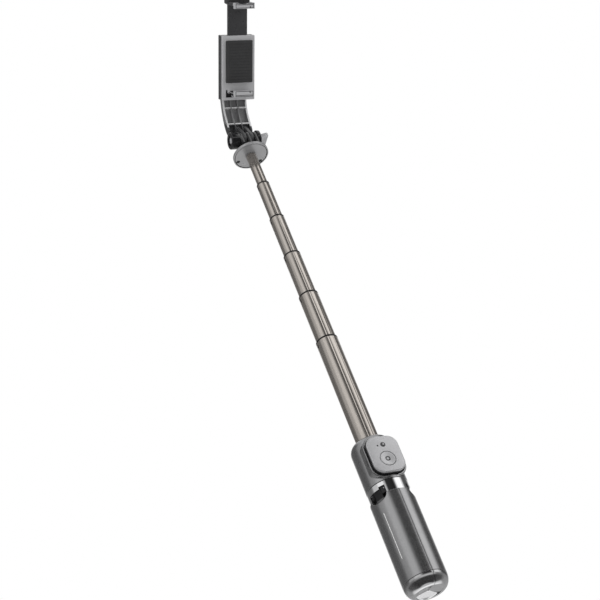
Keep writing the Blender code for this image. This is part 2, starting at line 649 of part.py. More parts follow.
def make_clamp_body(head):
    body = box((-BODY_HALF, BODY_FRONT, BODY_LOW), (BODY_HALF, BODY_BACK, BODY_TOP))
    body = bevel(body, 0.0008, 1)
    cavity_front, cavity_low = BODY_FRONT + BODY_WALL, BODY_LOW + 0.0018
    cavity_half = BODY_HALF - BODY_WALL
    cavity = box((-cavity_half, cavity_front, cavity_low), (cavity_half, BODY_BACK + 0.001, CAVITY_TOP))
    mouth = box((-TONGUE_HALF - GAP, cavity_front, CAVITY_TOP - 0.006),
                (TONGUE_HALF + GAP, TONGUE_BACK + 0.0005, BODY_TOP + 0.002))
    body = cut(body, cavity, mouth)
    jaw_low = LOWER_JAW - JAW_LIFT
    floor_top = LOWER_JAW - PAD - GAP
    jaw = [(LIP_FRONT, jaw_low), (BODY_FRONT + 0.0008, jaw_low), (BODY_FRONT + 0.0008, floor_top),
           (LIP_BACK, floor_top), (LIP_BACK, LOWER_JAW + LIP_OVER), (LIP_FRONT, LOWER_JAW + LIP_OVER)]
    body = join(body, extrude([jaw], -JAW_HALF, JAW_HALF, SIDE))
    recess = box((-0.0070, LIP_FRONT - 0.001, jaw_low + 0.0010),
                 (0.0070, LIP_FRONT + 0.0003, LOWER_JAW + LIP_OVER - 0.0010))
    body = cut(body, recess)
    slot = box((-0.0116, 0.010, BODY_LOW + 0.0030), (-0.0100, BODY_FRONT + 0.003, BODY_LOW + 0.0090))
    body = cut(body, slot)
    place("clamp_body", body, "grey_plastic", head)
    cover = box((-BODY_HALF, BODY_BACK + GAP, BODY_LOW), (BODY_HALF, COVER_BACK, BODY_TOP))
    for x in (-ARM_SCREW_X, ARM_SCREW_X):
        cover = cut(cover, rod(0.0014, -0.030, -0.020, FRONT, (x, ARM_SCREW_HEIGHT), 12))
    place("clamp_cover", cover, "dark_plastic", head)
    pad = box((-JAW_HALF + 0.0004, LIP_BACK + GAP, LOWER_JAW - PAD),
              (JAW_HALF - 0.0004, REST_FACE - GAP, LOWER_JAW))
    place("lower_pad", pad, "rubber", head)
    rest = box((-0.0120, REST_FACE, 0.0480), (0.0120, BODY_FRONT - GAP, 0.0840))
    place("rest_pad", bevel(rest, 0.0010, 2), "rubber", head)
    for side, x in (("left", -ROD_X), ("right", ROD_X)):
        guide = rod(ROD_R, cavity_low + GAP, CAVITY_TOP - GAP, at=(x, ROD_BACK), steps=16)
        place(f"guide_rod_{side}", guide, "zinc_steel", head)


def make_slider(head):
    """Upper jaw with its tongue in the body and a crosshead on the guide rods."""
    slide = pivot("jaw_slide", (0, ROD_BACK, CROSSHEAD[0]), head)
    tongue_front = BODY_FRONT + BODY_WALL + 0.0004
    jaw_back = TONGUE_BACK - 0.0005
    roof_low, roof_top = UPPER_JAW + PAD + GAP, UPPER_JAW + 0.0037
    jaw = [(LIP_FRONT, UPPER_JAW - LIP_OVER), (LIP_BACK, UPPER_JAW - LIP_OVER), (LIP_BACK, roof_low),
           (jaw_back, roof_low), (jaw_back, roof_top), (LIP_FRONT, roof_top)]
    slider = extrude([jaw], -JAW_HALF, JAW_HALF, SIDE)
    tongue = box((-TONGUE_HALF, tongue_front, CROSSHEAD[0]), (TONGUE_HALF, TONGUE_BACK, roof_low + 0.001))
    cross = box((-0.0133, tongue_front, CROSSHEAD[0]), (0.0133, TONGUE_BACK, CROSSHEAD[1]))
    hood = box((-0.0105, 0.0150, roof_low + 0.0004), (0.0105, 0.0235, UPPER_JAW + 0.0115))
    hood = bevel(hood, 0.0015, 2)
    slider = join(slider, tongue, cross, hood)
    dip = rod(0.0115, -0.010, -0.0005, FRONT, (0, roof_top + 0.0102), 32)
    slider = cut(slider, dip)
    for x in (-ROD_X, ROD_X):
        guide_hole = rod(ROD_R + GAP, CROSSHEAD[0] - 0.001, CROSSHEAD[1] + 0.001, at=(x, ROD_BACK),
                         steps=16)
        slider = cut(slider, guide_hole)
    recess = box((-0.0068, LIP_FRONT - 0.001, UPPER_JAW - LIP_OVER - 0.001),
                 (0.0068, LIP_FRONT + 0.0003, roof_top - 0.0022))
    slider = cut(slider, recess)
    pad = box((-JAW_HALF + 0.0004, LIP_BACK + GAP, UPPER_JAW),
              (JAW_HALF - 0.0004, REST_FACE - GAP, UPPER_JAW + PAD))
    for name, solid, finish in (("clamp_slider", slider, "grey_plastic"), ("upper_pad", pad, "rubber")):
        solid.data.transform(Matrix.Translation((0, -ROD_BACK, -CROSSHEAD[0])))
        place(name, solid, finish, slide)


def make_springs(head):
    """Compression springs on the guide rods, between the crosshead and the body's top wall."""
    low, high = CROSSHEAD[1] + GAP + SPRING_WIRE, CAVITY_TOP - GAP - SPRING_WIRE
    per_turn = 8
    count = SPRING_TURNS * per_turn
    coil_r = SPRING_R - SPRING_WIRE
    for side, x in (("left", -ROD_X), ("right", ROD_X)):
        curve = bpy.data.curves.new("coil", "CURVE")
        curve.dimensions = "3D"
        curve.bevel_depth = SPRING_WIRE
        curve.bevel_resolution = 1
        curve.use_fill_caps = True
        spline = curve.splines.new("POLY")
        spline.points.add(count)
        for i, point in enumerate(spline.points):
            angle = 2 * math.pi * i / per_turn
            point.co = (x + coil_r * math.cos(angle), ROD_BACK + coil_r * math.sin(angle),
                        low + (high - low) * i / count, 1)
        place(f"clamp_spring_{side}", bake(link("coil", curve)), "zinc_steel", head)


def build():
    for obj in list(bpy.data.objects):
        bpy.data.objects.remove(obj, do_unlink=True)
    make_collection("selfie_stick")
    make_materials()
    stick = pivot("stick", (0, 0, -GRIP_HEIGHT))
    for side, azimuth in LEG_AZIMUTHS.items():
        make_leg(side, azimuth, stick)
    make_hub(stick)
    make_band(stick)
    make_housing(stick)
    make_remote(stick)
    mast_end = make_mast(stick)
    make_cap(mast_end)
    head = make_knuckle(mast_end)
    make_arm(head)
    make_clamp_body(head)
    make_slider(head)
    make_springs(head)


build()
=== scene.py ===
"""Looks of the telescopic selfie stick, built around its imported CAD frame.

Metres. Mast axis +Z, remote's face towards -Y. Heights in the handle and mast are above the handle's
lower end, which is GRIP_HEIGHT below the origin. The head's pieces are made in its own frame, with
the tilt axis at the origin, +Z towards the upper jaw and -Y towards the screen side, then tilted.
"""
import json
import math

import bmesh
import bpy
from mathutils import Matrix, Vector


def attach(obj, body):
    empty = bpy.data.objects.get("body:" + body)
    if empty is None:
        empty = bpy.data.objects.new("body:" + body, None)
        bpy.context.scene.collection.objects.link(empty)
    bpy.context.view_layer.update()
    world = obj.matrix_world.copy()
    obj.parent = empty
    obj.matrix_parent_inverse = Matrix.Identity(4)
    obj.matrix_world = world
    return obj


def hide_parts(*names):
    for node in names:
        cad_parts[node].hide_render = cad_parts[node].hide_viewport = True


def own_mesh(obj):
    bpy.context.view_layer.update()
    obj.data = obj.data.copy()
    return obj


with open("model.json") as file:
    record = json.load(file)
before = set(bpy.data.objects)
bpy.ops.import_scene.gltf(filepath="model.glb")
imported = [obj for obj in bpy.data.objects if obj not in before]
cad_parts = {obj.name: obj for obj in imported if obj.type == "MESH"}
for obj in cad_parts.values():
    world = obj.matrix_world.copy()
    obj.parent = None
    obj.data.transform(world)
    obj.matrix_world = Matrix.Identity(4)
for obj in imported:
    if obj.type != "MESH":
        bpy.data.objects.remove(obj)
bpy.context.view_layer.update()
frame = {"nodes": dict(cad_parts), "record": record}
BODY_OF = {node: body for body, members in frame["record"]["behaviour"]["bodies"].items()
           for node in members}

GAP = 0.0003      # left between neighbouring pieces
PAST = 0.001      # how far a cutter reaches beyond the surface it opens
WELD = 1e-6
GRIP_HEIGHT = 0.040

# Handle
LEG_R = 0.0167
LEG_WALL = 0.0020
LEG_HALF_ANGLE = math.radians(59.5)
LEG_AZIMUTHS = {"front_left": -60, "front_right": 60, "back": 180}   # degrees from the front
LEG_TOP = 0.0764
FOOT_HEIGHT = 0.0086
FOOT_RIM_R = 0.0105
FOOT_DISH = 0.0020
SCOOP_LOW = 0.0714
SCOOP_HALF_ANGLE = math.radians(27)
SLIT = (0.0008, 0.0380)
SLIT_MID = 0.0440
SLIT_HIGHLIGHT_DEPTHS = (-0.0012, -0.00008)      # depths of the white strip in the slit, a painted highlight, below the leg's surface
LINER_IN_R = 0.0100
LINER_TOP = 0.0740
LINER_HALF_ANGLE = math.radians(57)
LUG_SHADE_LEVEL = 0.0745              # the lug above this height is painted black, as painted shade inside the band's notch
TROUGH_R = LINER_IN_R + 0.0013
TROUGH = (0.0120, LINER_TOP - 0.0040)
TROUGH_HALF_ANGLE = math.radians(53)
PIN_R = 0.0010
PIN_OUT = 0.0127
PIN_HEIGHT = 0.0810
PIN_HALF = 0.0068
LUG_R = 0.0024
LUG_HALF = 0.0035
LUG_LOW = PIN_HEIGHT - 0.0075
LUG_OUT = PIN_OUT + 0.0016
HUB_R = 0.0150
HUB_LOW = 0.0772
BORE_R = 0.0095
BAND_LOW = 0.0768
BAND_TOP = 0.0859
BAND_R = 0.01585
BAND_WALL = 0.00055
NOTCH_TOP = 0.0820
NOTCH_HALF_ANGLE = math.radians(29)
NOTCH_STEP = 0.0008
NOTCH_STEP_HALF_ANGLE = math.radians(9)
HOUSING_LOW = BAND_TOP + GAP
HOUSING_TOP = 0.1262
HOUSING_R = 0.0160
SHOULDER_LOW = 0.1194
SHOULDER_TOP_R = 0.0108
SOCKET_R = 0.0142
SOCKET_TOP = 0.0873

# Remote and its cradle
REMOTE_SIZE = (0.0252, 0.0306)
REMOTE_CORNER = 0.0080
REMOTE_MID = 0.1046
REMOTE_BACK = 0.0116
REMOTE_SPLIT = 0.0157
REMOTE_FACE = 0.0194
REMOTE_WALL = 0.0012
CRADLE_SIZE = (0.0282, 0.0348)
CRADLE_MID = 0.1048
CRADLE_BACK = 0.0080
CRADLE_FACE = 0.0153
REMOTE_ROOM = 0.0007
MARK_SIDE = -0.0141
MARK_HEIGHTS = {"low": 0.1008, "high": 0.1036}
MARK_Y = -0.0130
BUTTON_R = 0.0060
BUTTON_HEIGHT = 0.1004
BUTTON_FLANGE = (0.0171, 0.0179)
FACE_SIDE_SHADE_FROM = 0.0016         # the face's sides are painted dark, as painted shade, from this far behind its front
LED_AT = (-0.0041, 0.1120)
CELL_R = 0.0080
CELL_DOOR_FACE = 0.0123
HATCH_FLOOR = 0.0135

# Mast
TUBE_R = {6: 0.00890, 5: 0.00805, 4: 0.00715, 3: 0.00630, 2: 0.00550, 1: 0.00455}
TUBE_TOP = {6: 0.2240, 5: 0.2697, 4: 0.3124, 3: 0.3532, 2: 0.3918, 1: 0.4259}
TUBE_WALL = 0.0005
SHORTEST_TUBE = 0.1050
TUBE_STEP = 0.0020
GROOVE_DEPTH = 0.00030
GROOVE_HALF_ANGLE = 12.0
GROOVE_EASE = 4.0
BUSH_HEIGHT = 0.0012
PLUG_HEIGHT = 0.0015
WINDOW = (0.0020, 0.0032)
WINDOW_DROP = 0.0045

# Head
DISC_LOW = TUBE_TOP[1]
DISC_R = 0.0155
DISC_THICK = 0.0026
STUB_R = 0.0032
STUB_LOW = DISC_LOW - 0.0080
DISC_SCREW_AZIMUTHS = {"left": -124, "right": 124}
DISC_SCREW_OUT = 0.0122
DISC_GROOVE = (0.0010, 0.0015)   # in from the disc's edge
DISC_GROOVE_DEPTH = 0.0010
AXLE = DISC_LOW + 0.0190
PRONG_R = 0.0070
PRONG = 0.0030
FIRST_PRONG_X = -0.0033
BOSS_R = 0.0075
BOSS_END = -0.0136
HINGE_BORE_R = 0.0028
NUT_R = 0.0046
NUT_ROOM = 0.0005
COLLAR_R = 0.0080
COLLAR_WELL_R = 0.0058
COLLAR_WELL = 0.0012
WING_ROOT = 0.0050
WING_HALF = 0.0066
WING_END = 0.0203
TILT = math.radians(54.2)
ARM_HALF = 0.0112
ARM_WALL = 0.0016
ARM_RIB = 0.0012
ARM_RIBS = (-0.0037, 0.0027)
ARM_BARS = ((0.0262, 0.0236), (0.0150, 0.0122))
ARM_BAR_TURN = math.radians(-28)
ARM_DARK = 0.0118                # the arm is black below this height
BODY_HALF = 0.0150
BODY_FRONT = 0.0153
BODY_BACK = 0.0230
BODY_WALL = 0.0014
COVER_BACK = 0.0250
REST_FACE = 0.0122
BODY_LOW = 0.0327
BODY_TOP = 0.0880
CAVITY_TOP = 0.0860
LIP_FRONT = 0.0015
LIP_BACK = 0.0033
LIP_PANEL = (-0.0078, 0.0084)
LIP_DENT = (0.0050, 0.0058)
LIP_GROOVE = 0.0005
LIP_GROOVE_DEPTH = 0.0007
LIP_MARGIN = 0.0004
LOWER_JAW = 0.0414
UPPER_JAW = 0.1129
JAW_LIFT = 0.0044
PAD = 0.0007
PAD_PITCH = 0.0011
LIP_OVER = 0.0012
JAW_HALF = 0.0094
JAW_HOLE = ((-0.0114, 0.0352), (-0.0052, 0.0391))      # low and high corners, x and z
BODY_FLOOR = 0.0018
REST_GROOVES = 13
REST_PITCH = 0.0025
HOOD_HALF = 0.0105
HOOD_TOP = UPPER_JAW + 0.0114
HOOD_SCOOP_R = 0.0115
TONGUE_HALF = 0.0086
TONGUE_BACK = 0.0205
ROD_X = 0.0112
ROD_BACK = 0.0190
ROD_R = 0.0010
SPRING_R = 0.0020
SPRING_WIRE = 0.00035
SPRING_TURNS = 6
CROSSHEAD = (0.0520, 0.0550)
ARM_SCREW_X = 0.0062
ARM_SCREW_HEIGHT = 0.0460
SIDES = (("left", -1), ("right", 1))

PLAN = Matrix.Identity(4)
FRONT = Matrix(((1, 0, 0, 0), (0, 0, -1, 0), (0, 1, 0, 0), (0, 0, 0, 1)))   # outline x, z; rises to -Y
SIDE = Matrix(((0, 0, 1, 0), (1, 0, 0, 0), (0, 1, 0, 0), (0, 0, 0, 1)))     # outline y, z; rises to +X
IN_STICK = Matrix.Translation((0, 0, -GRIP_HEIGHT))
IN_HEAD = Matrix.Translation((0, 0, AXLE - GRIP_HEIGHT)) @ Matrix.Rotation(TILT, 4, "X")

VIEW_AZIMUTH = math.radians(-27.35)
VIEW_ELEVATION = math.radians(-34.0)
VIEW_ROLL = math.radians(22.0)
CAMERA_AT = Vector((-0.4623, -0.8777, -0.4400))
LENS = 90.0
FLOOR_LEVEL = -0.75


# ---------------------------------------------------------------- materials

GRAIN_DEPTH = 0.00002


def feed(tree, node, inputs):
    """Link a node's inputs to other nodes' outputs, or set them to numbers."""
    for socket, value in inputs.items():
        if isinstance(value, bpy.types.NodeSocket):
            tree.links.new(value, node.inputs[socket])
        else:
            node.inputs[socket].default_value = value


def add(tree, kind, inputs, **settings):
    node = tree.nodes.new("ShaderNode" + kind)
    for key, value in settings.items():
        setattr(node, key, value)
    feed(tree, node, inputs)
    return node


def noise(tree, vector, scale, detail, roughness):
    return add(tree, "TexNoise", {"Vector": vector, "Scale": scale, "Detail": detail,
                                  "Roughness": roughness}).outputs["Fac"]


def remap(tree, value, low, high):
    """A noise's usual range, from 0.3 to 0.7, spread from low to high."""
    return add(tree, "MapRange", {"Value": value, "From Min": 0.3, "From Max": 0.7,
                                  "To Min": low, "To Max": high}).outputs["Result"]


def make_finish(name, colour, roughness, metallic=0.0, grain=3000.0, bump=0.25, stretch=(1, 1, 1),
                mottle=0.06, spread=0.05, coat=0.0, specular=0.5):
    """A moulded, painted or drawn surface: fine grain, faint larger mottling and uneven gloss."""
    material = bpy.data.materials.new(name)
    material.use_nodes = True
    tree = material.node_tree
    place = add(tree, "TexCoord", {}).outputs["Object"]
    drawn = add(tree, "Mapping", {"Vector": place, "Scale": stretch}).outputs["Vector"]
    fine = noise(tree, drawn, grain, 2.0, 0.5)
    broad = noise(tree, drawn, 90.0, 4.0, 0.6)
    worn = noise(tree, place, 260.0, 5.0, 0.65)
    blend = add(tree, "Math", {0: remap(tree, broad, 0.0, 0.6), 1: remap(tree, fine, 0.0, 0.4)},
                operation="ADD")
    darker = [c * (1 - mottle) for c in colour]
    lighter = [min(1.0, c * (1 + mottle)) for c in colour]
    mix = add(tree, "Mix", {0: blend.outputs[0], 6: (*darker, 1), 7: (*lighter, 1)}, data_type="RGBA")
    relief = add(tree, "Bump", {"Height": fine, "Strength": bump, "Distance": GRAIN_DEPTH})
    feed(tree, tree.nodes["Principled BSDF"], {
        "Base Color": mix.outputs[2], "Normal": relief.outputs["Normal"],
        "Roughness": remap(tree, worn, roughness - spread, roughness + spread),
        "Metallic": metallic, "Coat Weight": coat, "Coat Roughness": 0.08,
        "Specular IOR Level": specular})
    return material


# Colour and roughness of each finish, and what differs from the defaults above
LOOKS = {
    "leg_grey": ((0.36, 0.36, 0.365), 0.23,
        dict(metallic=0.90, grain=5200.0, bump=0.015, mottle=0.03, spread=0.03)),
    "foot_grey": ((0.46, 0.46, 0.465), 0.13,
        dict(metallic=0.95, grain=4200.0, bump=0.02, mottle=0.03, spread=0.02)),
    # Black plastic parts, and also the painted shade in grooves, holes and the band's notches
    "black_plastic": ((0.012, 0.012, 0.013), 0.40, dict(bump=0.3, mottle=0.2, specular=0.3)),
    "liner_grey": ((0.085, 0.085, 0.087), 0.42, dict(bump=0.3, mottle=0.12)),
    "black_chrome": ((0.80, 0.80, 0.81), 0.06,
        dict(metallic=1.0, bump=0.01, mottle=0.02, spread=0.02)),
    "zinc_steel": ((0.58, 0.58, 0.59), 0.28, dict(metallic=1.0, grain=2400.0, stretch=(1, 1, 0.2))),
    "tube_steel": ((0.51, 0.472, 0.435), 0.17,
        dict(metallic=0.88, grain=3600.0, stretch=(1, 1, 0.03), bump=0.01, mottle=0.05, spread=0.03)),
    "disc_grey": ((0.31, 0.31, 0.315), 0.32,
        dict(metallic=0.3, grain=2600.0, bump=0.15, mottle=0.05)),
    "black_screw": ((0.03, 0.03, 0.03), 0.30, dict(metallic=0.6, bump=0.1)),
    # Dark plastic parts, and also the painted shade on the sides of the remote face and the clamp
    "dark_plastic": ((0.045, 0.045, 0.047), 0.30,
        dict(grain=2600.0, bump=0.15, mottle=0.12, specular=0.6)),
    "gloss_black": ((0.010, 0.010, 0.011), 0.12,
        dict(grain=2600.0, bump=0.03, mottle=0.1, coat=0.4, spread=0.03)),
    # A painted highlight on the front edges of the arm's side walls
    "painted_rim_highlight": ((0.58, 0.58, 0.585), 0.34, dict(grain=2600.0, bump=0.1)),
    # A painted highlight: the white of the strip set in each leg's slit
    "painted_slit_highlight": ((0.82, 0.82, 0.82), 0.35, dict(grain=2600.0, bump=0.05, mottle=0.03)),
    "arm_grey": ((0.17, 0.17, 0.173), 0.36, dict(grain=2600.0, bump=0.15, mottle=0.08)),
    "face_grey": ((0.47, 0.47, 0.48), 0.30,
        dict(metallic=0.35, grain=2800.0, bump=0.06, mottle=0.03, spread=0.04)),
    "light_plastic": ((0.44, 0.44, 0.45), 0.34,
        dict(metallic=0.1, grain=2800.0, bump=0.12, mottle=0.03)),
    "rubber": ((0.035, 0.035, 0.036), 0.72, dict(grain=1800.0, bump=0.5, mottle=0.15)),
    "board_green": ((0.02, 0.14, 0.06), 0.40, dict(mottle=0.25)),
    "lens": ((0.03, 0.03, 0.035), 0.08, dict(bump=0.02, mottle=0.1, coat=0.5, spread=0.02)),
    "mark": ((0.035, 0.035, 0.037), 0.40, dict(bump=0.1, mottle=0.1)),
    "floor_white": ((0.86, 0.86, 0.86), 0.6, dict(grain=60.0, mottle=0.01)),
}
FINISHES = {name: make_finish(name, colour, roughness, **rest)
            for name, (colour, roughness, rest) in LOOKS.items()}

# Each material slot of the CAD, and how the names of its nodes begin
SLOT_STEMS = {
    "leg_grey": ("leg", "housing_shell"),
    "foot_grey": ("foot_pad",),
    "black_plastic": ("leg_liner", "tripod_hub", "mouth_bush", "tube_plug"),
    "black_chrome": ("trim_band",),
    "tube_steel": ("tube",),
    "disc_grey": ("cap_disc",),
    "zinc_steel": ("leg_pin", "hinge_nut", "arm_screw", "guide_rod", "clamp_spring", "remote_cell"),
    "black_screw": ("disc_screw",),
    "dark_plastic": ("knuckle_base", "tilt_arm", "clamp_cover", "remote_back", "cell_door"),
    "light_plastic": ("remote_face", "shutter_button", "wing_screw", "clamp_body", "clamp_slider"),
    "rubber": ("lower_pad", "upper_pad", "rest_pad"),
    "board_green": ("remote_board",),
    "lens": ("remote_led",),
}


def slot_of(node):
    """The slot with the longest stem that fits a node's name."""
    return max((len(stem), slot) for slot, stems in SLOT_STEMS.items() for stem in stems
               if node == stem or node.startswith(stem + "_"))[1]


SLOT_OF = {node: slot_of(node) for node in BODY_OF}


# ---------------------------------------------------------------- shapes

def link(name, data):
    obj = bpy.data.objects.new(name, data)
    bpy.context.scene.collection.objects.link(obj)
    return obj


def bake(obj):
    """Spend an object's modifiers, or turn a curve into a welded mesh."""
    bpy.context.view_layer.update()
    mesh = bpy.data.meshes.new_from_object(obj.evaluated_get(bpy.context.evaluated_depsgraph_get()))
    bm = bmesh.new()
    bm.from_mesh(mesh)
    bmesh.ops.remove_doubles(bm, verts=bm.verts, dist=WELD)
    bmesh.ops.dissolve_degenerate(bm, edges=bm.edges, dist=WELD)
    bmesh.ops.recalc_face_normals(bm, faces=bm.faces)
    bm.to_mesh(mesh)
    bm.free()
    solid = link(obj.name, mesh)
    bpy.data.objects.remove(obj)
    return solid


def from_bmesh(bm):
    bmesh.ops.recalc_face_normals(bm, faces=bm.faces)
    mesh = bpy.data.meshes.new("solid")
    bm.to_mesh(mesh)
    bm.free()
    return link("solid", mesh)


def arc(centre, radius, start, end, steps, height=None):
    """Points on the arc of a circle, or of an ellipse with a height, in degrees, with both ends."""
    up = radius if height is None else height
    angles = [math.radians(start + (end - start) * i / steps) for i in range(steps + 1)]
    return [(centre[0] + radius * math.cos(a), centre[1] + up * math.sin(a)) for a in angles]


def circle(radius, centre=(0.0, 0.0), steps=64):
    return arc(centre, radius, 0, 360, steps)[:-1]


def rounded(size, radius, centre=(0.0, 0.0), steps=10):
    """Outline of a rectangle with round corners."""
    across, up = size[0] / 2 - radius, size[1] / 2 - radius
    points = []
    for turn, (sx, sy) in enumerate(((1, 1), (-1, 1), (-1, -1), (1, -1))):
        corner = (centre[0] + sx * across, centre[1] + sy * up)
        points += arc(corner, radius, 90 * turn, 90 * turn + 90, steps)
    return points


def bezier(a, b, c, d, steps):
    points = []
    for i in range(steps + 1):
        t = i / steps
        weights = ((1 - t) ** 3, 3 * t * (1 - t) ** 2, 3 * t * t * (1 - t), t ** 3)
        points.append(tuple(sum(w * p[k] for w, p in zip(weights, (a, b, c, d))) for k in (0, 1)))
    return points


def inset(points, distance):
    """An open line moved to its left by a distance."""
    moved = []
    for i, point in enumerate(points):
        ahead, behind = points[min(i + 1, len(points) - 1)], points[max(i - 1, 0)]
        along = Vector((ahead[0] - behind[0], ahead[1] - behind[1])).normalized()
        moved.append((point[0] - along.y * distance, point[1] + along.x * distance))
    return moved


def extrude(outlines, low, high, axes=PLAN, edge=0.0, steps=2):
    """A flat outline, with any holes, made into a solid with its edges rounded by edge."""
    curve = bpy.data.curves.new("outline", "CURVE")
    curve.dimensions = "2D"
    curve.fill_mode = "BOTH"
    curve.extrude = (high - low) / 2 - edge
    curve.bevel_depth = edge
    curve.offset = -edge
    curve.bevel_resolution = steps
    for outline in outlines:
        spline = curve.splines.new("POLY")
        spline.points.add(len(outline) - 1)
        for point, (x, y) in zip(spline.points, outline):
            point.co = (x, y, 0, 1)
        spline.use_cyclic_u = True
    solid = bake(link("outline", curve))
    solid.data.transform(axes @ Matrix.Translation((0, 0, (low + high) / 2)))
    return solid


def box(low, high, edge=0.0, steps=2):
    bm = bmesh.new()
    size = Vector(high) - Vector(low)
    middle = (Vector(high) + Vector(low)) / 2
    bmesh.ops.create_cube(bm, size=1.0, matrix=Matrix.Translation(middle) @ Matrix.Diagonal((*size, 1)))
    solid = from_bmesh(bm)
    return bevel(solid, edge, steps) if edge else solid


def rod(radius, low, high, axes=PLAN, at=(0.0, 0.0), steps=48, edge=0.0):
    return extrude([circle(radius, at, steps)], low, high, axes, edge)


def turned(profile, steps=96, axes=PLAN):
    """A profile of (radius, height) points turned about Z; it runs down its outer side."""
    mesh = bpy.data.meshes.new("profile")
    edges = [(i, i + 1) for i in range(len(profile) - 1)]
    if profile[0][0] > 0:
        edges.append((len(profile) - 1, 0))
    mesh.from_pydata([(r, 0, z) for r, z in profile], edges, [])
    obj = link("profile", mesh)
    screw = obj.modifiers.new("turn", "SCREW")
    screw.steps = steps
    screw.render_steps = steps
    screw.use_merge_vertices = True
    screw.merge_threshold = WELD
    solid = bake(obj)
    solid.data.transform(axes)
    return solid


def sector(profile, half_angle, steps=40, middle=0.0):
    """A closed profile swept part of a turn about Z, its middle at an angle from +X."""
    bm = bmesh.new()
    face = bm.faces.new([bm.verts.new((r, 0, z)) for r, z in profile])
    bmesh.ops.rotate(bm, verts=bm.verts, cent=(0, 0, 0),
                     matrix=Matrix.Rotation(middle - half_angle, 3, "Z"))
    bmesh.ops.spin(bm, geom=[face], cent=(0, 0, 0), axis=(0, 0, 1), angle=2 * half_angle, steps=steps)
    return from_bmesh(bm)


def ring_section(inner, outer, low, high):
    return [(inner, low), (outer, low), (outer, high), (inner, high)]


def boolean(obj, others, operation):
    for other in others:
        modifier = obj.modifiers.new("boolean", "BOOLEAN")
        modifier.operation = operation
        modifier.object = other
        obj = bake(obj)
        bpy.data.objects.remove(other)
    return obj


def cut(obj, *cutters):
    return boolean(obj, cutters, "DIFFERENCE")


def join(obj, *others):
    return boolean(obj, others, "UNION")


def bevel(obj, width, segments=2, angle=50):
    modifier = obj.modifiers.new("bevel", "BEVEL")
    modifier.width = width
    modifier.segments = segments
    modifier.limit_method = "ANGLE"
    modifier.angle_limit = math.radians(angle)
    return bake(obj)


def wrap(outlines, low, high, radius, edge, cuts):
    """A plate of outlines in (arc length, height), bent round Z with its middle at +X.

    Its two faces are low and high above the radius.
    """
    plate = extrude(outlines, low, high, PLAN, edge, 3)
    bm = bmesh.new()
    bm.from_mesh(plate.data)
    bpy.data.objects.remove(plate)
    reach = max(abs(v.co.x) for v in bm.verts)
    for i in range(1, cuts):
        at = -reach + 2 * reach * i / cuts
        bmesh.ops.bisect_plane(bm, geom=bm.verts[:] + bm.edges[:] + bm.faces[:], dist=1e-7,
                               plane_co=(at, 0, 0), plane_no=(1, 0, 0))
    for v in bm.verts:
        s, z, level = v.co
        angle, r = s / radius, radius + level
        v.co = (r * math.cos(angle), r * math.sin(angle), z)
    return from_bmesh(bm)


def to_azimuth(obj, azimuth):
    """Turn a piece made towards +X to an azimuth in degrees from the front (-Y)."""
    obj.data.transform(Matrix.Rotation(math.radians(azimuth - 90), 4, "Z"))
    return obj


# ---------------------------------------------------------------- placing

def dress(obj, name, body, finish, place=IN_STICK, crease=35):
    obj.name = name
    obj.data.name = name
    obj.data.transform(place)
    obj.data.materials.clear()
    obj.data.materials.append(FINISHES[finish])
    obj.data.shade_smooth()
    obj.data.set_sharp_from_angle(angle=math.radians(crease))
    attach(obj, body)
    return obj


def stand_for(obj, node, place=IN_STICK, crease=35, finish=None):
    """A finer piece shown instead of a CAD node, with that node's body and material slot."""
    dress(obj, node + "_shape", BODY_OF[node], finish or SLOT_OF[node], place, crease)
    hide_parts(node)
    return obj


def split(obj, axis, level):
    """A clean line of edges all round a piece at one level along its own X, Y or Z."""
    direction = Vector([float(name == axis) for name in "XYZ"])
    bm = bmesh.new()
    bm.from_mesh(obj.data)
    bmesh.ops.bisect_plane(bm, geom=bm.verts[:] + bm.edges[:] + bm.faces[:], dist=1e-7,
                           plane_co=direction * level, plane_no=direction)
    bm.to_mesh(obj.data)
    bm.free()


def tint(obj, finish, chosen, place=IN_STICK):
    """Another finish on the faces of a placed piece that chosen(centre, direction) picks."""
    obj.data.materials.append(FINISHES[finish])
    back = place.inverted()
    for face in obj.data.polygons:
        if chosen(back @ face.center, back.to_3x3() @ face.normal):
            face.material_index = len(obj.data.materials) - 1


def detail(obj, name, body, finish, slot, place=IN_STICK):
    """A small extra piece that no CAD node has."""
    dress(obj, name, body, finish, place)
    return obj


# ---------------------------------------------------------------- tripod handle

def leg_shell():
    """Curved outer shell with a scooped top edge and a slit down its middle."""
    half, scoop = LEG_HALF_ANGLE * LEG_R, SCOOP_HALF_ANGLE * LEG_R
    low, corner = FOOT_HEIGHT + GAP, 0.0004
    corners = ((-half + corner, LEG_TOP - corner), (-half + corner, low + corner),
               (half - corner, low + corner), (half - corner, LEG_TOP - corner))
    outline = []
    for at, start in zip(corners, (90, 180, 270, 0)):
        outline += arc(at, corner, start, start + 90, 4)
    outline += arc((0, LEG_TOP), scoop, 0, -180, 28, LEG_TOP - SCOOP_LOW)
    slit = rounded(SLIT, SLIT[0] / 2 - 1e-5, (0, SLIT_MID), 6)
    return wrap([outline, slit], -LEG_WALL, 0.0, LEG_R, 0.00022, 48)


def leg_liner():
    """Inner part of a leg: a trough below, and above it the lug that its pin goes through."""
    section = ring_section(LINER_IN_R, LEG_R - LEG_WALL - GAP, FOOT_HEIGHT + GAP, LINER_TOP)
    liner = sector(section, LINER_HALF_ANGLE, 32)
    liner = cut(liner, sector(ring_section(TROUGH_R, LEG_R, *TROUGH), TROUGH_HALF_ANGLE, 30))
    outline = arc((PIN_OUT, PIN_HEIGHT), LUG_R, 0, 180, 20)
    outline += [(PIN_OUT - LUG_R, LUG_LOW), (LUG_OUT, LUG_LOW), (LUG_OUT, PIN_HEIGHT - LUG_R)]
    liner = join(liner, extrude([outline], -LUG_HALF, LUG_HALF, FRONT, 0.0003))
    bore = rod(PIN_R + GAP, -LUG_HALF - PAST, LUG_HALF + PAST, FRONT, (PIN_OUT, PIN_HEIGHT), 24)
    return cut(liner, bore)


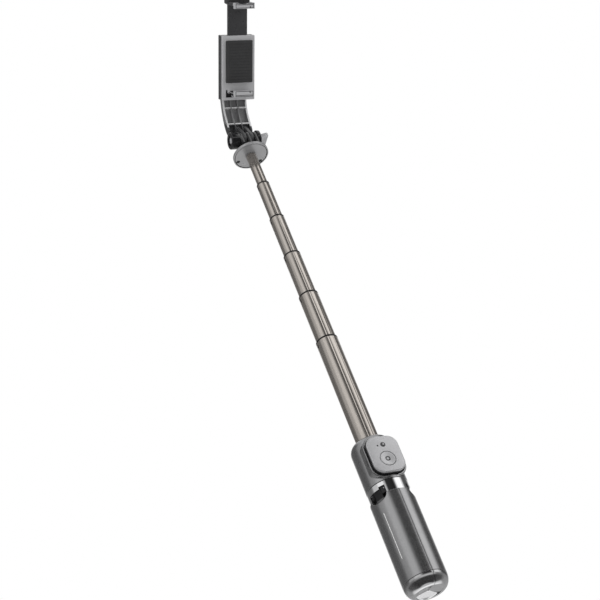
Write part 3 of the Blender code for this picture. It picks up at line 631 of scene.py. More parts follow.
def foot_pad():
    """End of a leg: round outside, with a flat facet sloping up to the middle inside a thin rim."""
    tip_r, hollow_r = 0.0006, FOOT_RIM_R - 0.0005
    profile = [(tip_r + (hollow_r - tip_r) * i / 8, FOOT_DISH) for i in range(9)]
    profile += [(hollow_r + 0.0001, 0.00012), (hollow_r + 0.0003, 0.00002)]
    profile += arc((FOOT_RIM_R, FOOT_HEIGHT), LEG_R - FOOT_RIM_R, -90, 0, 20, FOOT_HEIGHT)
    profile.append((tip_r, FOOT_HEIGHT))
    foot = sector(profile, LEG_HALF_ANGLE, 40)
    for v in foot.data.vertices:
        in_hollow = math.hypot(v.co.x, v.co.y) < hollow_r + 0.00005
        if in_hollow and v.co.z < FOOT_HEIGHT / 2:
            v.co.z = max(0.0002, FOOT_DISH * (1 - v.co.x / hollow_r))
    return bevel(foot, 0.00015, 2, 60)


def make_legs():
    fit = 0.0001
    strip = rounded([side - fit for side in SLIT], SLIT[0] / 2 - fit, (0, SLIT_MID), 6)
    for side, azimuth in LEG_AZIMUTHS.items():
        stand_for(to_azimuth(leg_shell(), azimuth), f"leg_{side}")
        liner = leg_liner()
        split(liner, "Z", LUG_SHADE_LEVEL)
        stand_for(to_azimuth(liner, azimuth), f"leg_liner_{side}", finish="liner_grey")
        # The lug's top is painted black: painted shade in the band's notch above it
        tint(liner, "black_plastic", lambda at, facing: at.z > LUG_SHADE_LEVEL)
        # A white strip in the slit stands in for the highlight along its edge: a painted highlight
        highlight_strip = to_azimuth(wrap([strip], *SLIT_HIGHLIGHT_DEPTHS, LEG_R, fit, 3), azimuth)
        detail(highlight_strip, f"leg_slit_highlight_{side}", f"{side}_leg", "painted_slit_highlight", "leg_grey")
        stand_for(to_azimuth(foot_pad(), azimuth), f"foot_pad_{side}")


def make_band():
    """Bright ring with a stepped notch over each leg's scoop."""
    edge, inner = 0.0001, BAND_R - BAND_WALL
    profile = [(inner, BAND_TOP), (BAND_R - edge, BAND_TOP), (BAND_R, BAND_TOP - edge),
               (BAND_R, BAND_LOW + edge), (BAND_R - edge, BAND_LOW), (inner, BAND_LOW)]
    band = turned(profile, 144)
    through = (BAND_R - 2 * PAST, BAND_R + 2 * PAST)
    for azimuth in LEG_AZIMUTHS.values():
        wide = sector(ring_section(*through, BAND_LOW - 0.0010, NOTCH_TOP - NOTCH_STEP),
                      NOTCH_HALF_ANGLE, 24)
        deep = sector(ring_section(*through, BAND_LOW - 0.0012, NOTCH_TOP + NOTCH_STEP),
                      NOTCH_STEP_HALF_ANGLE, 8, NOTCH_HALF_ANGLE - NOTCH_STEP_HALF_ANGLE)
        band = cut(band, to_azimuth(wide, azimuth), to_azimuth(deep, azimuth))
    stand_for(band, "trim_band")


def make_hub():
    edge = 0.0002
    inner, spigot_r, spigot_top = BORE_R + 0.0002, SOCKET_R - GAP, SOCKET_TOP - GAP
    profile = [(inner, spigot_top), (spigot_r, spigot_top), (spigot_r, BAND_TOP),
               (HUB_R - edge, BAND_TOP), (HUB_R, BAND_TOP - edge),
               (HUB_R, HUB_LOW + edge), (HUB_R - edge, HUB_LOW), (inner, HUB_LOW)]
    hub = turned(profile, 96)
    for azimuth in LEG_AZIMUTHS.values():
        slot = box((BORE_R - 0.0015, -LUG_HALF - GAP, HUB_LOW - PAST),
                   (HUB_R + 2 * PAST, LUG_HALF + GAP, PIN_HEIGHT + LUG_R + 0.0006))
        hole = rod(PIN_R + GAP, -PIN_HALF - GAP, PIN_HALF + GAP, FRONT, (PIN_OUT, PIN_HEIGHT), 24)
        hub = cut(hub, to_azimuth(slot, azimuth), to_azimuth(hole, azimuth))
    stand_for(hub, "tripod_hub")


def make_housing():
    edge = 0.0002
    profile = [(BORE_R, HOUSING_TOP)]
    profile += arc((SHOULDER_TOP_R, SHOULDER_LOW), HOUSING_R - SHOULDER_TOP_R, 90, 0, 20,
                   HOUSING_TOP - SHOULDER_LOW)
    profile += [(HOUSING_R, HOUSING_LOW + edge), (HOUSING_R - edge, HOUSING_LOW), (BORE_R, HOUSING_LOW)]
    housing = turned(profile, 128)
    cradle = extrude([rounded(CRADLE_SIZE, REMOTE_CORNER + 0.0010, (0, CRADLE_MID), 14)],
                     CRADLE_BACK, CRADLE_FACE, FRONT, 0.0007, 4)
    pocket_size = [side + 2 * REMOTE_ROOM for side in REMOTE_SIZE]
    pocket = extrude([rounded(pocket_size, REMOTE_CORNER + REMOTE_ROOM, (0, REMOTE_MID), 14)],
                     REMOTE_BACK - GAP, 0.025, FRONT)
    bore = rod(BORE_R, 0.080, 0.140, steps=96)
    socket = rod(SOCKET_R, 0.080, SOCKET_TOP, steps=96)
    stand_for(cut(join(housing, cradle), bore, socket, pocket), "housing_shell")
    for name, height in MARK_HEIGHTS.items():
        rims = [rounded(size, radius, (MARK_Y, height), 8)
                for size, radius in (((0.0013, 0.0023), 0.00064), ((0.0007, 0.0017), 0.00034))]
        oval = extrude(rims, MARK_SIDE - 0.00006, MARK_SIDE + 0.00010, SIDE)
        detail(oval, f"cradle_mark_{name}", "handle", "mark", "leg_grey")


# ---------------------------------------------------------------- remote

def make_remote():
    middle, button_at = (0, REMOTE_MID), (0, BUTTON_HEIGHT)
    outline = rounded(REMOTE_SIZE, REMOTE_CORNER, middle, 16)
    inner = rounded([side - 2 * REMOTE_WALL for side in REMOTE_SIZE], REMOTE_CORNER - REMOTE_WALL,
                    middle, 12)
    back = extrude([outline], REMOTE_BACK, REMOTE_SPLIT - GAP, FRONT, 0.0004, 3)
    tray = extrude([inner], REMOTE_BACK + REMOTE_WALL, REMOTE_SPLIT + PAST, FRONT)
    hatch = rod(CELL_R + 0.0009, 0.0, HATCH_FLOOR, FRONT, middle, 64)
    stand_for(cut(back, tray, hatch), "remote_back", finish="black_plastic")

    face = extrude([outline], REMOTE_SPLIT, REMOTE_FACE, FRONT, 0.0010, 5)
    hollow = extrude([inner], REMOTE_SPLIT - PAST, REMOTE_FACE - REMOTE_WALL, FRONT)
    through = (REMOTE_SPLIT - 0.0007, REMOTE_FACE + 0.0016)
    button_hole = rod(BUTTON_R + GAP, *through, FRONT, button_at, 72)
    led_hole = rod(0.0007, *through, FRONT, LED_AT, 20)
    face = cut(face, hollow, button_hole, led_hole)
    side_level = -REMOTE_FACE + FACE_SIDE_SHADE_FROM
    split(face, "Y", side_level)
    stand_for(face, "remote_face", finish="face_grey")
    # The face's sides are painted dark: painted shade in the gap round the remote
    tint(face, "dark_plastic", lambda at, facing: at.y > side_level)

    front, button_r, flange_r = REMOTE_FACE + 0.0001, BUTTON_R - 0.00015, BUTTON_R + 0.0008
    flange_back, flange_front = BUTTON_FLANGE
    profile = [(0.0, front - 0.0005), (0.0012, front - 0.00048), (0.0026, front - 0.00035),
               (0.0040, front - 0.00015), (button_r - 0.0009, front - 0.00003),
               (button_r - 0.0005, front)]
    profile += arc((button_r - 0.0004, front - 0.0004), 0.0004, 80, 0, 5)
    profile += [(button_r, flange_front), (flange_r, flange_front), (flange_r, flange_back),
                (0.0, flange_back)]
    button = turned(profile, 96, FRONT @ Matrix.Translation((0, BUTTON_HEIGHT, 0)))
    stand_for(button, "shutter_button", finish="face_grey")
    led = rod(0.0006, REMOTE_FACE - 0.0020, REMOTE_FACE - 0.0002, FRONT, LED_AT, 20, 0.0001)
    stand_for(led, "remote_led")
    door = rod(CELL_R + 0.0006, REMOTE_BACK, CELL_DOOR_FACE, FRONT, middle, 64, 0.0002)
    stand_for(door, "cell_door")

    dish = front - 0.00052
    icon = extrude([rounded((0.0036, 0.0036), 0.0012, button_at, 6), circle(0.0011, button_at, 24)],
                   dish, dish + 0.00022, FRONT)
    detail(icon, "button_icon", "button", "mark", "light_plastic")
    at = (0.0003, LED_AT[1] + 0.0004)
    ring = extrude([circle(0.0020, at, 40), circle(0.0007, (at[0] + 0.0005, at[1] + 0.0004), 32)],
                   REMOTE_FACE - 0.0001, REMOTE_FACE + 0.00006, FRONT, 0.00003, 1)
    detail(ring, "face_icon", "remote", "mark", "light_plastic")


# ---------------------------------------------------------------- mast

def tube_outline(radius, rim=0.0):
    """Round outline with the shallow key groove along the front, its corners eased."""
    points = []
    steps = 144
    for i in range(steps):
        azimuth = -180 + 360 / steps * (i + 0.5)
        into = (GROOVE_HALF_ANGLE + GROOVE_EASE - abs(azimuth)) / GROOVE_EASE
        r = radius - rim - GROOVE_DEPTH * min(1.0, max(0.0, into))
        angle = math.radians(azimuth - 90)
        points.append((r * math.cos(angle), r * math.sin(angle)))
    return points


def make_mast():
    for number in sorted(TUBE_R, reverse=True):
        radius, top = TUBE_R[number], TUBE_TOP[number]
        bottom = top - (SHORTEST_TUBE + TUBE_STEP * (number - 1))
        tube_top = top - GAP if number == 1 else top - BUSH_HEIGHT - GAP
        tube = extrude([tube_outline(radius), tube_outline(radius, TUBE_WALL)],
                       bottom + PLUG_HEIGHT + GAP, tube_top, PLAN, 0.0001, 1)
        if number > 1:
            level = top - WINDOW_DROP
            tube = cut(tube, extrude([rounded(WINDOW, 0.0006, (0, level), 5)], -0.012, 0.012, SIDE))
            opening = circle(TUBE_R[number - 1] + GAP, steps=96)
            bush = extrude([circle(radius, steps=96), opening], top - BUSH_HEIGHT, top, PLAN, 0.0002, 2)
            stand_for(bush, f"mouth_bush_{number}")
            outline = rounded((WINDOW[0] - GAP, WINDOW[1] - GAP), 0.0005, (0, level), 5)
            for side, facing in SIDES:
                reach = sorted((facing * (radius - 0.0007), facing * (radius - 0.00005)))
                tab = extrude([outline], *reach, SIDE, 0.0001, 1)
                detail(tab, f"spring_tab_{number}_{side}", f"section_{number}", "black_plastic",
                       "black_plastic")
        stand_for(tube, f"tube_{number}", crease=25)


# ---------------------------------------------------------------- knuckle on the cap disc

def screw_head(radius, recess, low, high, axes=PLAN, steps=40):
    """Round screw head with a cross recess; its outer face is at low."""
    head = rod(radius, min(low, high), max(low, high), axes, steps=steps, edge=0.00015)
    depth = sorted((low - (high - low), low + (high - low) * 0.55))
    arm = recess * 0.28
    for size in ((recess, arm), (arm, recess)):
        head = cut(head, extrude([rounded(size, recess * 0.08, (0, 0), 2)], *depth, axes))
    return head


def make_cap():
    rim, fall = DISC_GROOVE[0], 0.0003
    groove_in, groove_out = DISC_R - DISC_GROOVE[1], DISC_R - rim
    groove_floor = DISC_LOW + DISC_GROOVE_DEPTH
    profile = [(0.0, DISC_LOW + DISC_THICK)]
    profile += arc((DISC_R - 0.0006, DISC_LOW + DISC_THICK - 0.0006), 0.0006, 90, 0, 6)
    profile += arc((DISC_R - 0.0003, DISC_LOW + 0.0003), 0.0003, 0, -90, 4)
    profile += arc((groove_out + 0.0002, DISC_LOW + 0.0002), 0.0002, -90, -180, 3)
    profile += [(groove_out, groove_floor), (groove_in, groove_floor), (groove_in, DISC_LOW + fall),
                (STUB_R, DISC_LOW + fall), (STUB_R, STUB_LOW), (0.0, STUB_LOW)]
    disc = turned(profile, 128)
    at = (DISC_SCREW_OUT, 0)
    for side, azimuth in DISC_SCREW_AZIMUTHS.items():
        head_hole = rod(0.0017, DISC_LOW - PAST, DISC_LOW + 0.0012, at=at, steps=32)
        shank_hole = rod(0.0010, DISC_LOW, DISC_LOW + 0.0020, at=at, steps=24)
        disc = cut(disc, to_azimuth(head_hole, azimuth), to_azimuth(shank_hole, azimuth))
        screw = screw_head(0.0015, 0.0018, DISC_LOW + fall, DISC_LOW + 0.0011)
        screw.data.transform(Matrix.Translation((DISC_SCREW_OUT, 0, 0)))
        stand_for(to_azimuth(screw, azimuth), f"disc_screw_{side}")
    stand_for(disc, "cap_disc")
    near = 0.0001
    # The groove's faces are painted black: painted shade in the groove round the disc's underside
    tint(disc, "black_plastic", lambda at, facing: at.z < groove_floor + near
         and groove_in - near < math.hypot(at.x, at.y) < groove_out + near)


def prong_x(index):
    """The two faces of prong 0 to 4, counted from the nut boss; the arm has prongs 0 and 2."""
    low = FIRST_PRONG_X + index * (PRONG + GAP)
    return low, low + PRONG


def make_knuckle():
    base_low = DISC_LOW + DISC_THICK + GAP
    first_low, last_high = FIRST_PRONG_X - GAP - PRONG, prong_x(3)[1]
    slot_low = AXLE - PRONG_R - 0.0016
    axle = (0, AXLE)
    outline = arc(axle, PRONG_R, 0, 180, 40) + [(-PRONG_R, base_low), (PRONG_R, base_low)]
    foot = [(-PRONG_R, base_low), (PRONG_R, base_low), (PRONG_R, slot_low), (-PRONG_R, slot_low)]
    spans = [(first_low, first_low + PRONG), prong_x(1), prong_x(3)]
    knuckle = extrude([foot], first_low, last_high, SIDE, 0.0003)
    knuckle = join(knuckle, *[extrude([outline], low, high, SIDE, 0.0004, 3) for low, high in spans])
    boss = rod(BOSS_R, BOSS_END, first_low + 0.0010, SIDE, axle, 96, 0.0008)
    bore = rod(HINGE_BORE_R, BOSS_END - PAST, last_high + PAST, SIDE, axle, 40)
    nut_pocket = rod(NUT_R + NUT_ROOM, BOSS_END - PAST, BOSS_END + 0.0052, SIDE, axle, 6)
    stand_for(cut(join(knuckle, boss), bore, nut_pocket), "knuckle_base", finish="gloss_black")

    nut = cut(rod(NUT_R, BOSS_END + 0.0010, BOSS_END + 0.0049, SIDE, axle, 6, 0.0003),
              rod(HINGE_BORE_R, BOSS_END, BOSS_END + 0.0060, SIDE, axle, 40))
    stand_for(nut, "hinge_nut")

    collar_low = prong_x(4)[0]
    collar_high = collar_low + PRONG
    edge, bore_r, well_floor = 0.0007, 0.0026, collar_high - COLLAR_WELL
    profile = [(bore_r, collar_low)]
    profile += arc((COLLAR_R - edge, collar_low + edge), edge, -90, 0, 5)
    profile += arc((COLLAR_R - edge, collar_high - edge), edge, 0, 90, 5)
    profile += [(COLLAR_WELL_R, collar_high), (COLLAR_WELL_R, well_floor), (bore_r, well_floor)]
    collar = turned(profile, 96, SIDE @ Matrix.Translation((0, AXLE, 0)))
    detail(collar, "thumb_collar", "thumb_screw", "gloss_black", "dark_plastic")

    corner_r, thick = 0.0015, 0.0034
    corner = (WING_END - corner_r, WING_HALF - corner_r)
    root_low, root_high = collar_high - 0.0008, collar_high + 0.0012
    paddle = [(root_low, -WING_ROOT), (root_high, -WING_ROOT)]
    paddle += arc((corner[0], -corner[1]), corner_r, -105, 0, 8)
    paddle += arc(corner, corner_r, 0, 105, 8)
    paddle += [(root_high, WING_ROOT), (root_low, WING_ROOT)]
    wing = extrude([paddle], AXLE - thick / 2, AXLE + thick / 2, PLAN, 0.0006, 4)
    hub = rod(0.0056, collar_high - 0.0010, collar_high + 0.0005, SIDE, axle, 64, 0.0003)
    shaft = rod(0.0024, BOSS_END + 0.0006, collar_high - 0.0006, SIDE, axle, 40, 0.0003)
    stand_for(join(hub, wing, shaft), "wing_screw")


# ---------------------------------------------------------------- tilting arm and phone clamp

def rib_bar(at, depth=0.0062, thick=0.0010):
    """Cross rib between the arm's side walls, at a point (y, z)."""
    half = ARM_HALF - 0.0008
    bar = box((-half, -depth / 2, -thick / 2), (half, depth / 2, thick / 2), 0.0002)
    bar.data.transform(Matrix.Translation((0, *at)) @ Matrix.Rotation(ARM_BAR_TURN, 4, "X"))
    return bar


def make_arm():
    """Bent channel with two ribs down its open front, two cross ribs and the middle hinge prongs."""
    foot_back, foot_front = (0.0100, 0.0015), (0.0098, 0.0070)
    top_back, top_front = (0.0345, 0.0520), (COVER_BACK + GAP, 0.0520)
    back_edge = bezier(foot_back, (0.0205, 0.0045), (0.0330, 0.0250), top_back, 32)
    front_edge = bezier(foot_front, (0.0130, 0.0120), (0.0252, 0.0210), (COVER_BACK + GAP, 0.0330), 24)
    arm = extrude([back_edge + [top_front] + front_edge[::-1]], -ARM_HALF, ARM_HALF, SIDE, 0.0004, 3)
    channel_top = 0.0370
    channel = [point for point in inset(back_edge, 0.0019) if point[1] < channel_top]
    channel += [(0.0200, channel_top), (0.0050, 0.0100), (0.0050, 0.0032)]
    half_rib = ARM_RIB / 2
    walls = [-ARM_HALF + ARM_WALL - half_rib, *ARM_RIBS, ARM_HALF - ARM_WALL + half_rib]
    for low, high in zip(walls, walls[1:]):
        arm = cut(arm, extrude([channel], low + half_rib, high - half_rib, SIDE))
    inside = [(y + 0.0002, z) for y, z in front_edge[::-1]]
    for at in ARM_BARS:
        within = extrude([back_edge + [top_front] + inside], -ARM_HALF, ARM_HALF, SIDE)
        arm = join(arm, boolean(rib_bar(at), [within], "INTERSECT"))
    prong = arc((0, 0), PRONG_R, 110, 315, 36) + [(0.0130, 0.0020), (0.0130, 0.0100)]
    for index in (0, 2):
        arm = join(arm, extrude([prong], *prong_x(index), SIDE, 0.0003, 2))
    arm = cut(arm, rod(0.0027, -0.006, 0.008, SIDE, steps=40))
    for side, facing in SIDES:
        at = (facing * ARM_SCREW_X, ARM_SCREW_HEIGHT)
        arm = cut(arm, rod(0.0014, -0.0400, -0.0240, FRONT, at, 24),
                  rod(0.0026, -0.0400, -0.0315, FRONT, at, 40))
        screw = screw_head(0.0022, 0.0028, -0.0334, -0.0318, FRONT)
        screw.data.transform(Matrix.Translation((at[0], 0, at[1])))
        shank = rod(0.0011, -0.0320, -0.0236, FRONT, at, 24)
        stand_for(join(screw, shank), f"arm_screw_{side}", IN_HEAD)
    stand_for(arm, "tilt_arm", IN_HEAD)
    rim = [Vector((0, *point)) for point in front_edge]

    def on_rim(at, facing):
        """Front edges of the side walls, lighter with a painted highlight where they catch the light;
        the two ribs stay dark.
        """
        is_rib = min(abs(at.x - x) for x in ARM_RIBS) < 0.0008
        return (facing.y < -0.45 and not is_rib and at.z > ARM_DARK - 0.002
                and min((Vector((0, at.y, at.z)) - point).length for point in rim) < 0.0019)

    tint(arm, "arm_grey", lambda at, facing: at.z > ARM_DARK, IN_HEAD)
    # The lighter rim is a painted highlight
    tint(arm, "painted_rim_highlight", on_rim, IN_HEAD)


def ribbed_pad(low, high):
    """Rubber pad with fine grooves across the face that meets the phone (its +Z side)."""
    pad = box(low, high, 0.00015)
    count = int((high[1] - low[1]) / PAD_PITCH)
    start = (low[1] + high[1]) / 2 - (count - 1) * PAD_PITCH / 2
    half_groove, depth = 0.00014, 0.0002
    for i in range(count):
        y = start + i * PAD_PITCH
        pad = cut(pad, box((low[0] - PAST, y - half_groove, high[2] - depth),
                           (high[0] + PAST, y + half_groove, high[2] + PAST)))
    return pad


def lip_grooves(low, high, line, dent):
    """Cutters for a lip's front: a groove round its panel, one line across it and a small slot."""
    front, floor, half = LIP_FRONT - PAST, LIP_FRONT + LIP_GROOVE_DEPTH, LIP_GROOVE / 2
    left, right = LIP_PANEL
    frame_outside = box((left, front, low), (right, floor, high))
    frame_inside = box((left + LIP_GROOVE, front - PAST, low + LIP_GROOVE),
                       (right - LIP_GROOVE, floor + PAST, high - LIP_GROOVE))
    return [cut(frame_outside, frame_inside),
            box((left + half, front, line - half), (right - half, floor, line + half)),
            box((LIP_DENT[0], front, dent[0]), (LIP_DENT[1], floor, dent[1]))]


def in_groove(at, low, high):
    """Whether a face at a point of a lip is inside its grooves."""
    near = 0.0001
    return (LIP_FRONT + near < at.y < LIP_FRONT + LIP_GROOVE_DEPTH + near
            and LIP_PANEL[0] - near < at.x < LIP_PANEL[1] + near
            and low + 2 * near < at.z < high - 2 * near)


def make_clamp():
    body = box((-BODY_HALF, BODY_FRONT, BODY_LOW), (BODY_HALF, BODY_BACK, BODY_TOP), 0.0008, 4)
    cavity_front, cavity_half = BODY_FRONT + BODY_WALL, BODY_HALF - BODY_WALL
    cavity = box((-cavity_half, cavity_front, BODY_LOW + BODY_FLOOR),
                 (cavity_half, BODY_BACK + PAST, CAVITY_TOP))
    mouth = box((-TONGUE_HALF - GAP, cavity_front, CAVITY_TOP - 0.006),
                (TONGUE_HALF + GAP, TONGUE_BACK + 0.0005, BODY_TOP + 2 * PAST))
    body = cut(body, cavity, mouth)
    jaw_low, jaw_high, floor_top = LOWER_JAW - JAW_LIFT, LOWER_JAW + LIP_OVER, LOWER_JAW - PAD - GAP
    jaw_back = BODY_FRONT + 0.0008
    jaw = [(LIP_FRONT, jaw_low), (jaw_back, jaw_low), (jaw_back, floor_top), (LIP_BACK, floor_top),
           (LIP_BACK, jaw_high), (LIP_FRONT, jaw_high)]
    body = join(body, extrude([jaw], -JAW_HALF, JAW_HALF, SIDE, 0.0003, 3))
    grooves = lip_grooves(jaw_low + LIP_MARGIN, jaw_high - LIP_MARGIN, jaw_low + 0.0016,
                          (LOWER_JAW - 0.0010, LOWER_JAW + 0.0005))
    slot = box((-0.0116, 0.010, BODY_LOW + 0.0030), (-0.0100, BODY_FRONT + 0.003, BODY_LOW + 0.0090))
    (hole_left, hole_low), (hole_right, hole_top) = JAW_HOLE
    hole_front, hole_back = LIP_BACK + 0.0040, cavity_front + 0.0004
    hole = box((hole_left, hole_front, hole_low), (hole_right, hole_back, hole_top))
    body = cut(body, *grooves, slot, hole)
    plate_back = BODY_FRONT + 0.0018
    split(body, "Y", plate_back)
    stand_for(body, "clamp_body", IN_HEAD)
    near = 0.0001

    def in_hole(at):
        """Whether a face is inside the hole through the jaw or the slot beside it."""
        return (-0.0116 - near < at.x < hole_right + near
                and hole_front - near < at.y < hole_back + near
                and BODY_LOW + 0.0030 - near < at.z < hole_top + near)

    # The body behind its front plate is painted dark: painted shade on its sides and on the jaw's side
    tint(body, "dark_plastic", lambda at, facing: at.y > plate_back, IN_HEAD)
    # The lip's grooves, the hole and the slot are painted black: painted shade in these recesses
    tint(body, "black_plastic", lambda at, facing: in_groove(at, jaw_low, jaw_high) or in_hole(at),
         IN_HEAD)

    cover = box((-BODY_HALF, BODY_BACK + GAP, BODY_LOW), (BODY_HALF, COVER_BACK, BODY_TOP), 0.0005, 3)
    for x in (-ARM_SCREW_X, ARM_SCREW_X):
        cover = cut(cover, rod(0.0014, -0.030, -0.020, FRONT, (x, ARM_SCREW_HEIGHT), 24))
    stand_for(cover, "clamp_cover", IN_HEAD)
    pad = ribbed_pad((-JAW_HALF + 0.0004, LIP_BACK + GAP, LOWER_JAW - PAD),
                     (JAW_HALF - 0.0004, REST_FACE - GAP, LOWER_JAW))
    stand_for(pad, "lower_pad", IN_HEAD)
    rest = box((-0.0120, REST_FACE, 0.0480), (0.0120, BODY_FRONT - GAP, 0.0840), 0.0008, 4)
    for i in range(REST_GROOVES):
        z = 0.0510 + i * REST_PITCH
        rest = cut(rest, box((-0.0100, REST_FACE - PAST, z - 0.0003),
                             (0.0100, REST_FACE + 0.0003, z + 0.0003)))
    stand_for(rest, "rest_pad", IN_HEAD)


def make_slider():
    tongue_front = BODY_FRONT + BODY_WALL + 0.0004
    jaw_back = TONGUE_BACK - 0.0005
    jaw_low, roof_low, roof_top = UPPER_JAW - LIP_OVER, UPPER_JAW + PAD + GAP, UPPER_JAW + 0.0037
    jaw = [(LIP_FRONT, jaw_low), (LIP_BACK, jaw_low), (LIP_BACK, roof_low),
           (jaw_back, roof_low), (jaw_back, roof_top), (LIP_FRONT, roof_top)]
    slider = extrude([jaw], -JAW_HALF, JAW_HALF, SIDE, 0.0003, 3)
    cross_low, cross_high = CROSSHEAD
    tongue = box((-TONGUE_HALF, tongue_front, cross_low), (TONGUE_HALF, TONGUE_BACK, roof_low + 0.001),
                 0.0002)
    cross = box((-0.0133, tongue_front, cross_low), (0.0133, TONGUE_BACK, cross_high), 0.0002)
    hood = box((-HOOD_HALF, 0.0150, roof_low + 0.0004), (HOOD_HALF, 0.0235, HOOD_TOP), 0.0015, 5)
    slider = join(slider, tongue, cross, hood)
    scoop = rod(HOOD_SCOOP_R, -0.010, -0.0005, FRONT, (0, roof_top + 0.0102), 96)
    slider = cut(slider, scoop)
    for x in (-ROD_X, ROD_X):
        slider = cut(slider, rod(ROD_R + GAP, cross_low - PAST, cross_high + PAST, at=(x, ROD_BACK),
                                 steps=24))
    slider = cut(slider, *lip_grooves(jaw_low + LIP_MARGIN, roof_top - LIP_MARGIN, roof_top - 0.0016,
                                      (UPPER_JAW - 0.0006, UPPER_JAW + 0.0008)))
    lip_end = LIP_BACK + 0.0008
    split(slider, "Y", lip_end)
    stand_for(slider, "clamp_slider", IN_HEAD)
    # The slider behind its lip is painted dark: painted shade on the lip's side and the hood
    tint(slider, "dark_plastic", lambda at, facing: at.y > lip_end, IN_HEAD)
    # The lip's grooves are painted black: painted shade in the recesses
    tint(slider, "black_plastic", lambda at, facing: in_groove(at, jaw_low, roof_top), IN_HEAD)
    pad = ribbed_pad((-JAW_HALF + 0.0004, -REST_FACE + GAP, -UPPER_JAW - PAD),
                     (JAW_HALF - 0.0004, -LIP_BACK - GAP, -UPPER_JAW))
    pad.data.transform(Matrix.Rotation(math.pi, 4, "X"))
    stand_for(pad, "upper_pad", IN_HEAD)


def make_springs():
    low, high = CROSSHEAD[1] + GAP + SPRING_WIRE, CAVITY_TOP - GAP - SPRING_WIRE
    per_turn = 20
    count = SPRING_TURNS * per_turn
    coil_r = SPRING_R - SPRING_WIRE
    for side, facing in SIDES:
        x = facing * ROD_X
        curve = bpy.data.curves.new("coil", "CURVE")
        curve.dimensions = "3D"
        curve.bevel_depth = SPRING_WIRE
        curve.bevel_resolution = 2
        curve.use_fill_caps = True
        spline = curve.splines.new("POLY")
        spline.points.add(count)
        for i, point in enumerate(spline.points):
            angle = 2 * math.pi * i / per_turn
            point.co = (x + coil_r * math.cos(angle), ROD_BACK + coil_r * math.sin(angle),
                        low + (high - low) * i / count, 1)
        spring = stand_for(bake(link("coil", curve)), f"clamp_spring_{side}", IN_HEAD)
        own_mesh(spring)
    for side, facing in SIDES:
        guide = rod(ROD_R, BODY_LOW + BODY_FLOOR + GAP, CAVITY_TOP - GAP,
                    at=(facing * ROD_X, ROD_BACK), steps=32, edge=0.0002)
        stand_for(guide, f"guide_rod_{side}", IN_HEAD)


# ---------------------------------------------------------------- camera, world, lights and floor

def make_camera():
    data = bpy.data.cameras.new("camera")
    data.lens = LENS
    data.sensor_width = 36.0
    data.clip_start = 0.01
    data.clip_end = 100.0
    camera = link("camera", data)
    turn = Matrix.Rotation(VIEW_AZIMUTH, 4, "Z")
    rise = Matrix.Rotation(math.radians(90) - VIEW_ELEVATION, 4, "X")
    roll = Matrix.Rotation(-VIEW_ROLL, 4, "Z")
    camera.matrix_world = Matrix.Translation(CAMERA_AT) @ turn @ rise @ roll
    bpy.context.scene.camera = camera


# Brightness round the horizon above it, against degrees to the right of the camera's side
STUDIO = ((-180, 0.95), (-162, 0.85), (-148, 0.22), (-122, 0.16), (-96, 0.14), (-84, 0.18),
          (-70, 0.55), (-48, 0.60), (-36, 0.95), (-12, 0.95), (-3, 0.50), (7, 0.03), (42, 0.02),
          (48, 0.15), (57, 1.00), (66, 1.35), (82, 1.35), (93, 0.85), (103, 0.16), (114, 0.09),
          (138, 0.12), (150, 0.40), (166, 0.85), (180, 0.95))
# The same level with the horizon, below it and further down
MIDDLE = ((-180, 0.60), (-120, 0.30), (-60, 0.25), (-25, 0.60), (0, 0.95), (45, 0.95), (70, 0.30),
          (180, 0.50))
UNDER = ((-180, 0.60), (-125, 0.50), (-90, 0.12), (-50, 0.04), (50, 0.04), (90, 0.12), (125, 0.50),
         (180, 0.60))
DEEP = ((-180, 1.90), (-125, 1.20), (-90, 0.15), (-50, 0.04), (50, 0.04), (90, 0.15), (125, 1.20),
        (180, 1.90))
NADIR = 0.9      # straight down
ZENITH = 0.8     # straight up


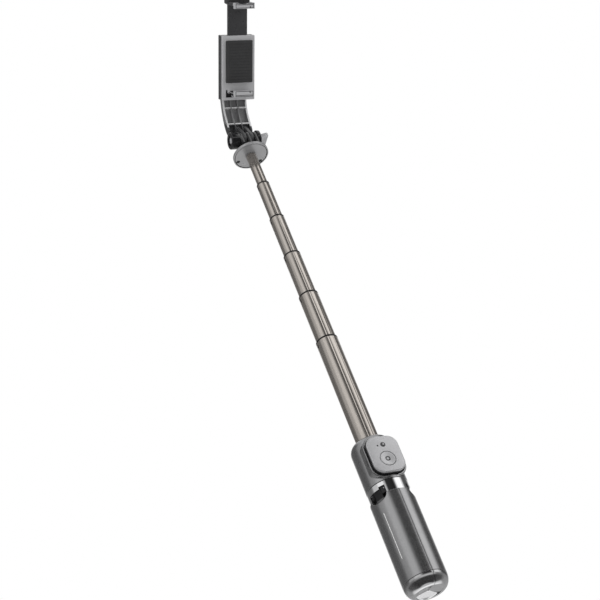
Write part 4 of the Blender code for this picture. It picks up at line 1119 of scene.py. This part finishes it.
def make_world():
    """White seen straight on; in reflections and light, soft boxes round a dim studio."""
    world = bpy.data.worlds.new("studio")
    bpy.context.scene.world = world
    world.use_nodes = True
    tree = world.node_tree
    direction = add(tree, "TexCoord", {}).outputs["Generated"]
    facing = add(tree, "Mapping", {"Vector": direction, "Rotation": (0, 0, -VIEW_AZIMUTH)})
    along = add(tree, "SeparateXYZ", {0: facing.outputs["Vector"]}).outputs

    def math_node(operation, *values):
        return add(tree, "Math", dict(enumerate(values)), operation=operation).outputs[0]

    def ring(levels):
        ramp = add(tree, "ValToRGB", {0: share})
        ramp.color_ramp.interpolation = "EASE"
        stops = ramp.color_ramp.elements
        stops.remove(stops[-1])
        for i, (degrees, level) in enumerate(levels):
            place = (degrees + 180) / 360
            stop = stops[0] if i == 0 else stops.new(place)
            stop.position = place
            stop.color = (level, level, level, 1)
        return ramp.outputs["Color"]

    def mix(factor, a, b):
        a, b = ((x, x, x, 1) if isinstance(x, float) else x for x in (a, b))
        return add(tree, "Mix", {0: factor, 6: a, 7: b}, data_type="RGBA").outputs[2]

    def between(start, end):
        """0 to 1 as the direction's height goes from start to end."""
        return add(tree, "MapRange", {"Value": along["Z"], "From Min": start, "From Max": end},
                   interpolation_type="SMOOTHSTEP").outputs["Result"]

    azimuth = math_node("ARCTAN2", along["X"], math_node("MULTIPLY", along["Y"], -1))
    share = math_node("ADD", math_node("DIVIDE", azimuth, 2 * math.pi), 0.5)
    sky = mix(between(0.78, 0.94), mix(between(0.20, 0.08), ring(STUDIO), ring(MIDDLE)), ZENITH)
    ground = mix(between(-0.55, -0.72), ring(UNDER), ring(DEEP))
    ground = mix(between(-0.92, -0.98), ground, NADIR)
    studio = mix(between(0.02, -0.16), sky, ground)
    is_seen = add(tree, "LightPath", {}).outputs["Is Camera Ray"]
    feed(tree, tree.nodes["Background"], {"Color": mix(is_seen, studio, 1.0)})


def make_light(name, azimuth, elevation, distance, size, power, aim=(0, 0, 0.20)):
    """Soft square light aimed at a point of the stick; it isn't seen, also not in reflections."""
    data = bpy.data.lights.new(name, "AREA")
    data.size = size
    data.energy = power
    lamp = link(name, data)
    a, e = VIEW_AZIMUTH + math.radians(azimuth), math.radians(elevation)
    away = Vector((math.sin(a) * math.cos(e), -math.cos(a) * math.cos(e), math.sin(e)))
    lamp.location = Vector(aim) + away * distance
    lamp.rotation_euler = away.to_track_quat("Z", "Y").to_euler()
    lamp.visible_glossy = False
    lamp.visible_camera = False


def make_floor():
    bm = bmesh.new()
    bmesh.ops.create_grid(bm, x_segments=2, y_segments=2, size=8.0,
                          matrix=Matrix.Translation((0, 0, FLOOR_LEVEL)))
    floor = from_bmesh(bm)
    floor.name = "floor"
    floor.data.materials.append(FINISHES["floor_white"])
    floor.visible_glossy = False


make_legs()
make_band()
make_hub()
make_housing()
make_remote()
make_mast()
make_cap()
make_knuckle()
make_arm()
make_clamp()
make_slider()
make_springs()

for node, obj in frame["nodes"].items():
    if not obj.hide_render:
        for material_slot in obj.material_slots:
            material_slot.material = FINISHES[SLOT_OF[node]]

make_camera()
make_world()
make_light("key", -35, 25, 1.8, 1.2, 9.0)
make_light("fill", 60, 12, 1.8, 1.2, 6.0)
make_light("head", 2, -40, 0.35, 0.12, 0.30, (0, 0, AXLE - GRIP_HEIGHT))
make_floor()
bpy.context.scene.view_settings.view_transform = "Standard"
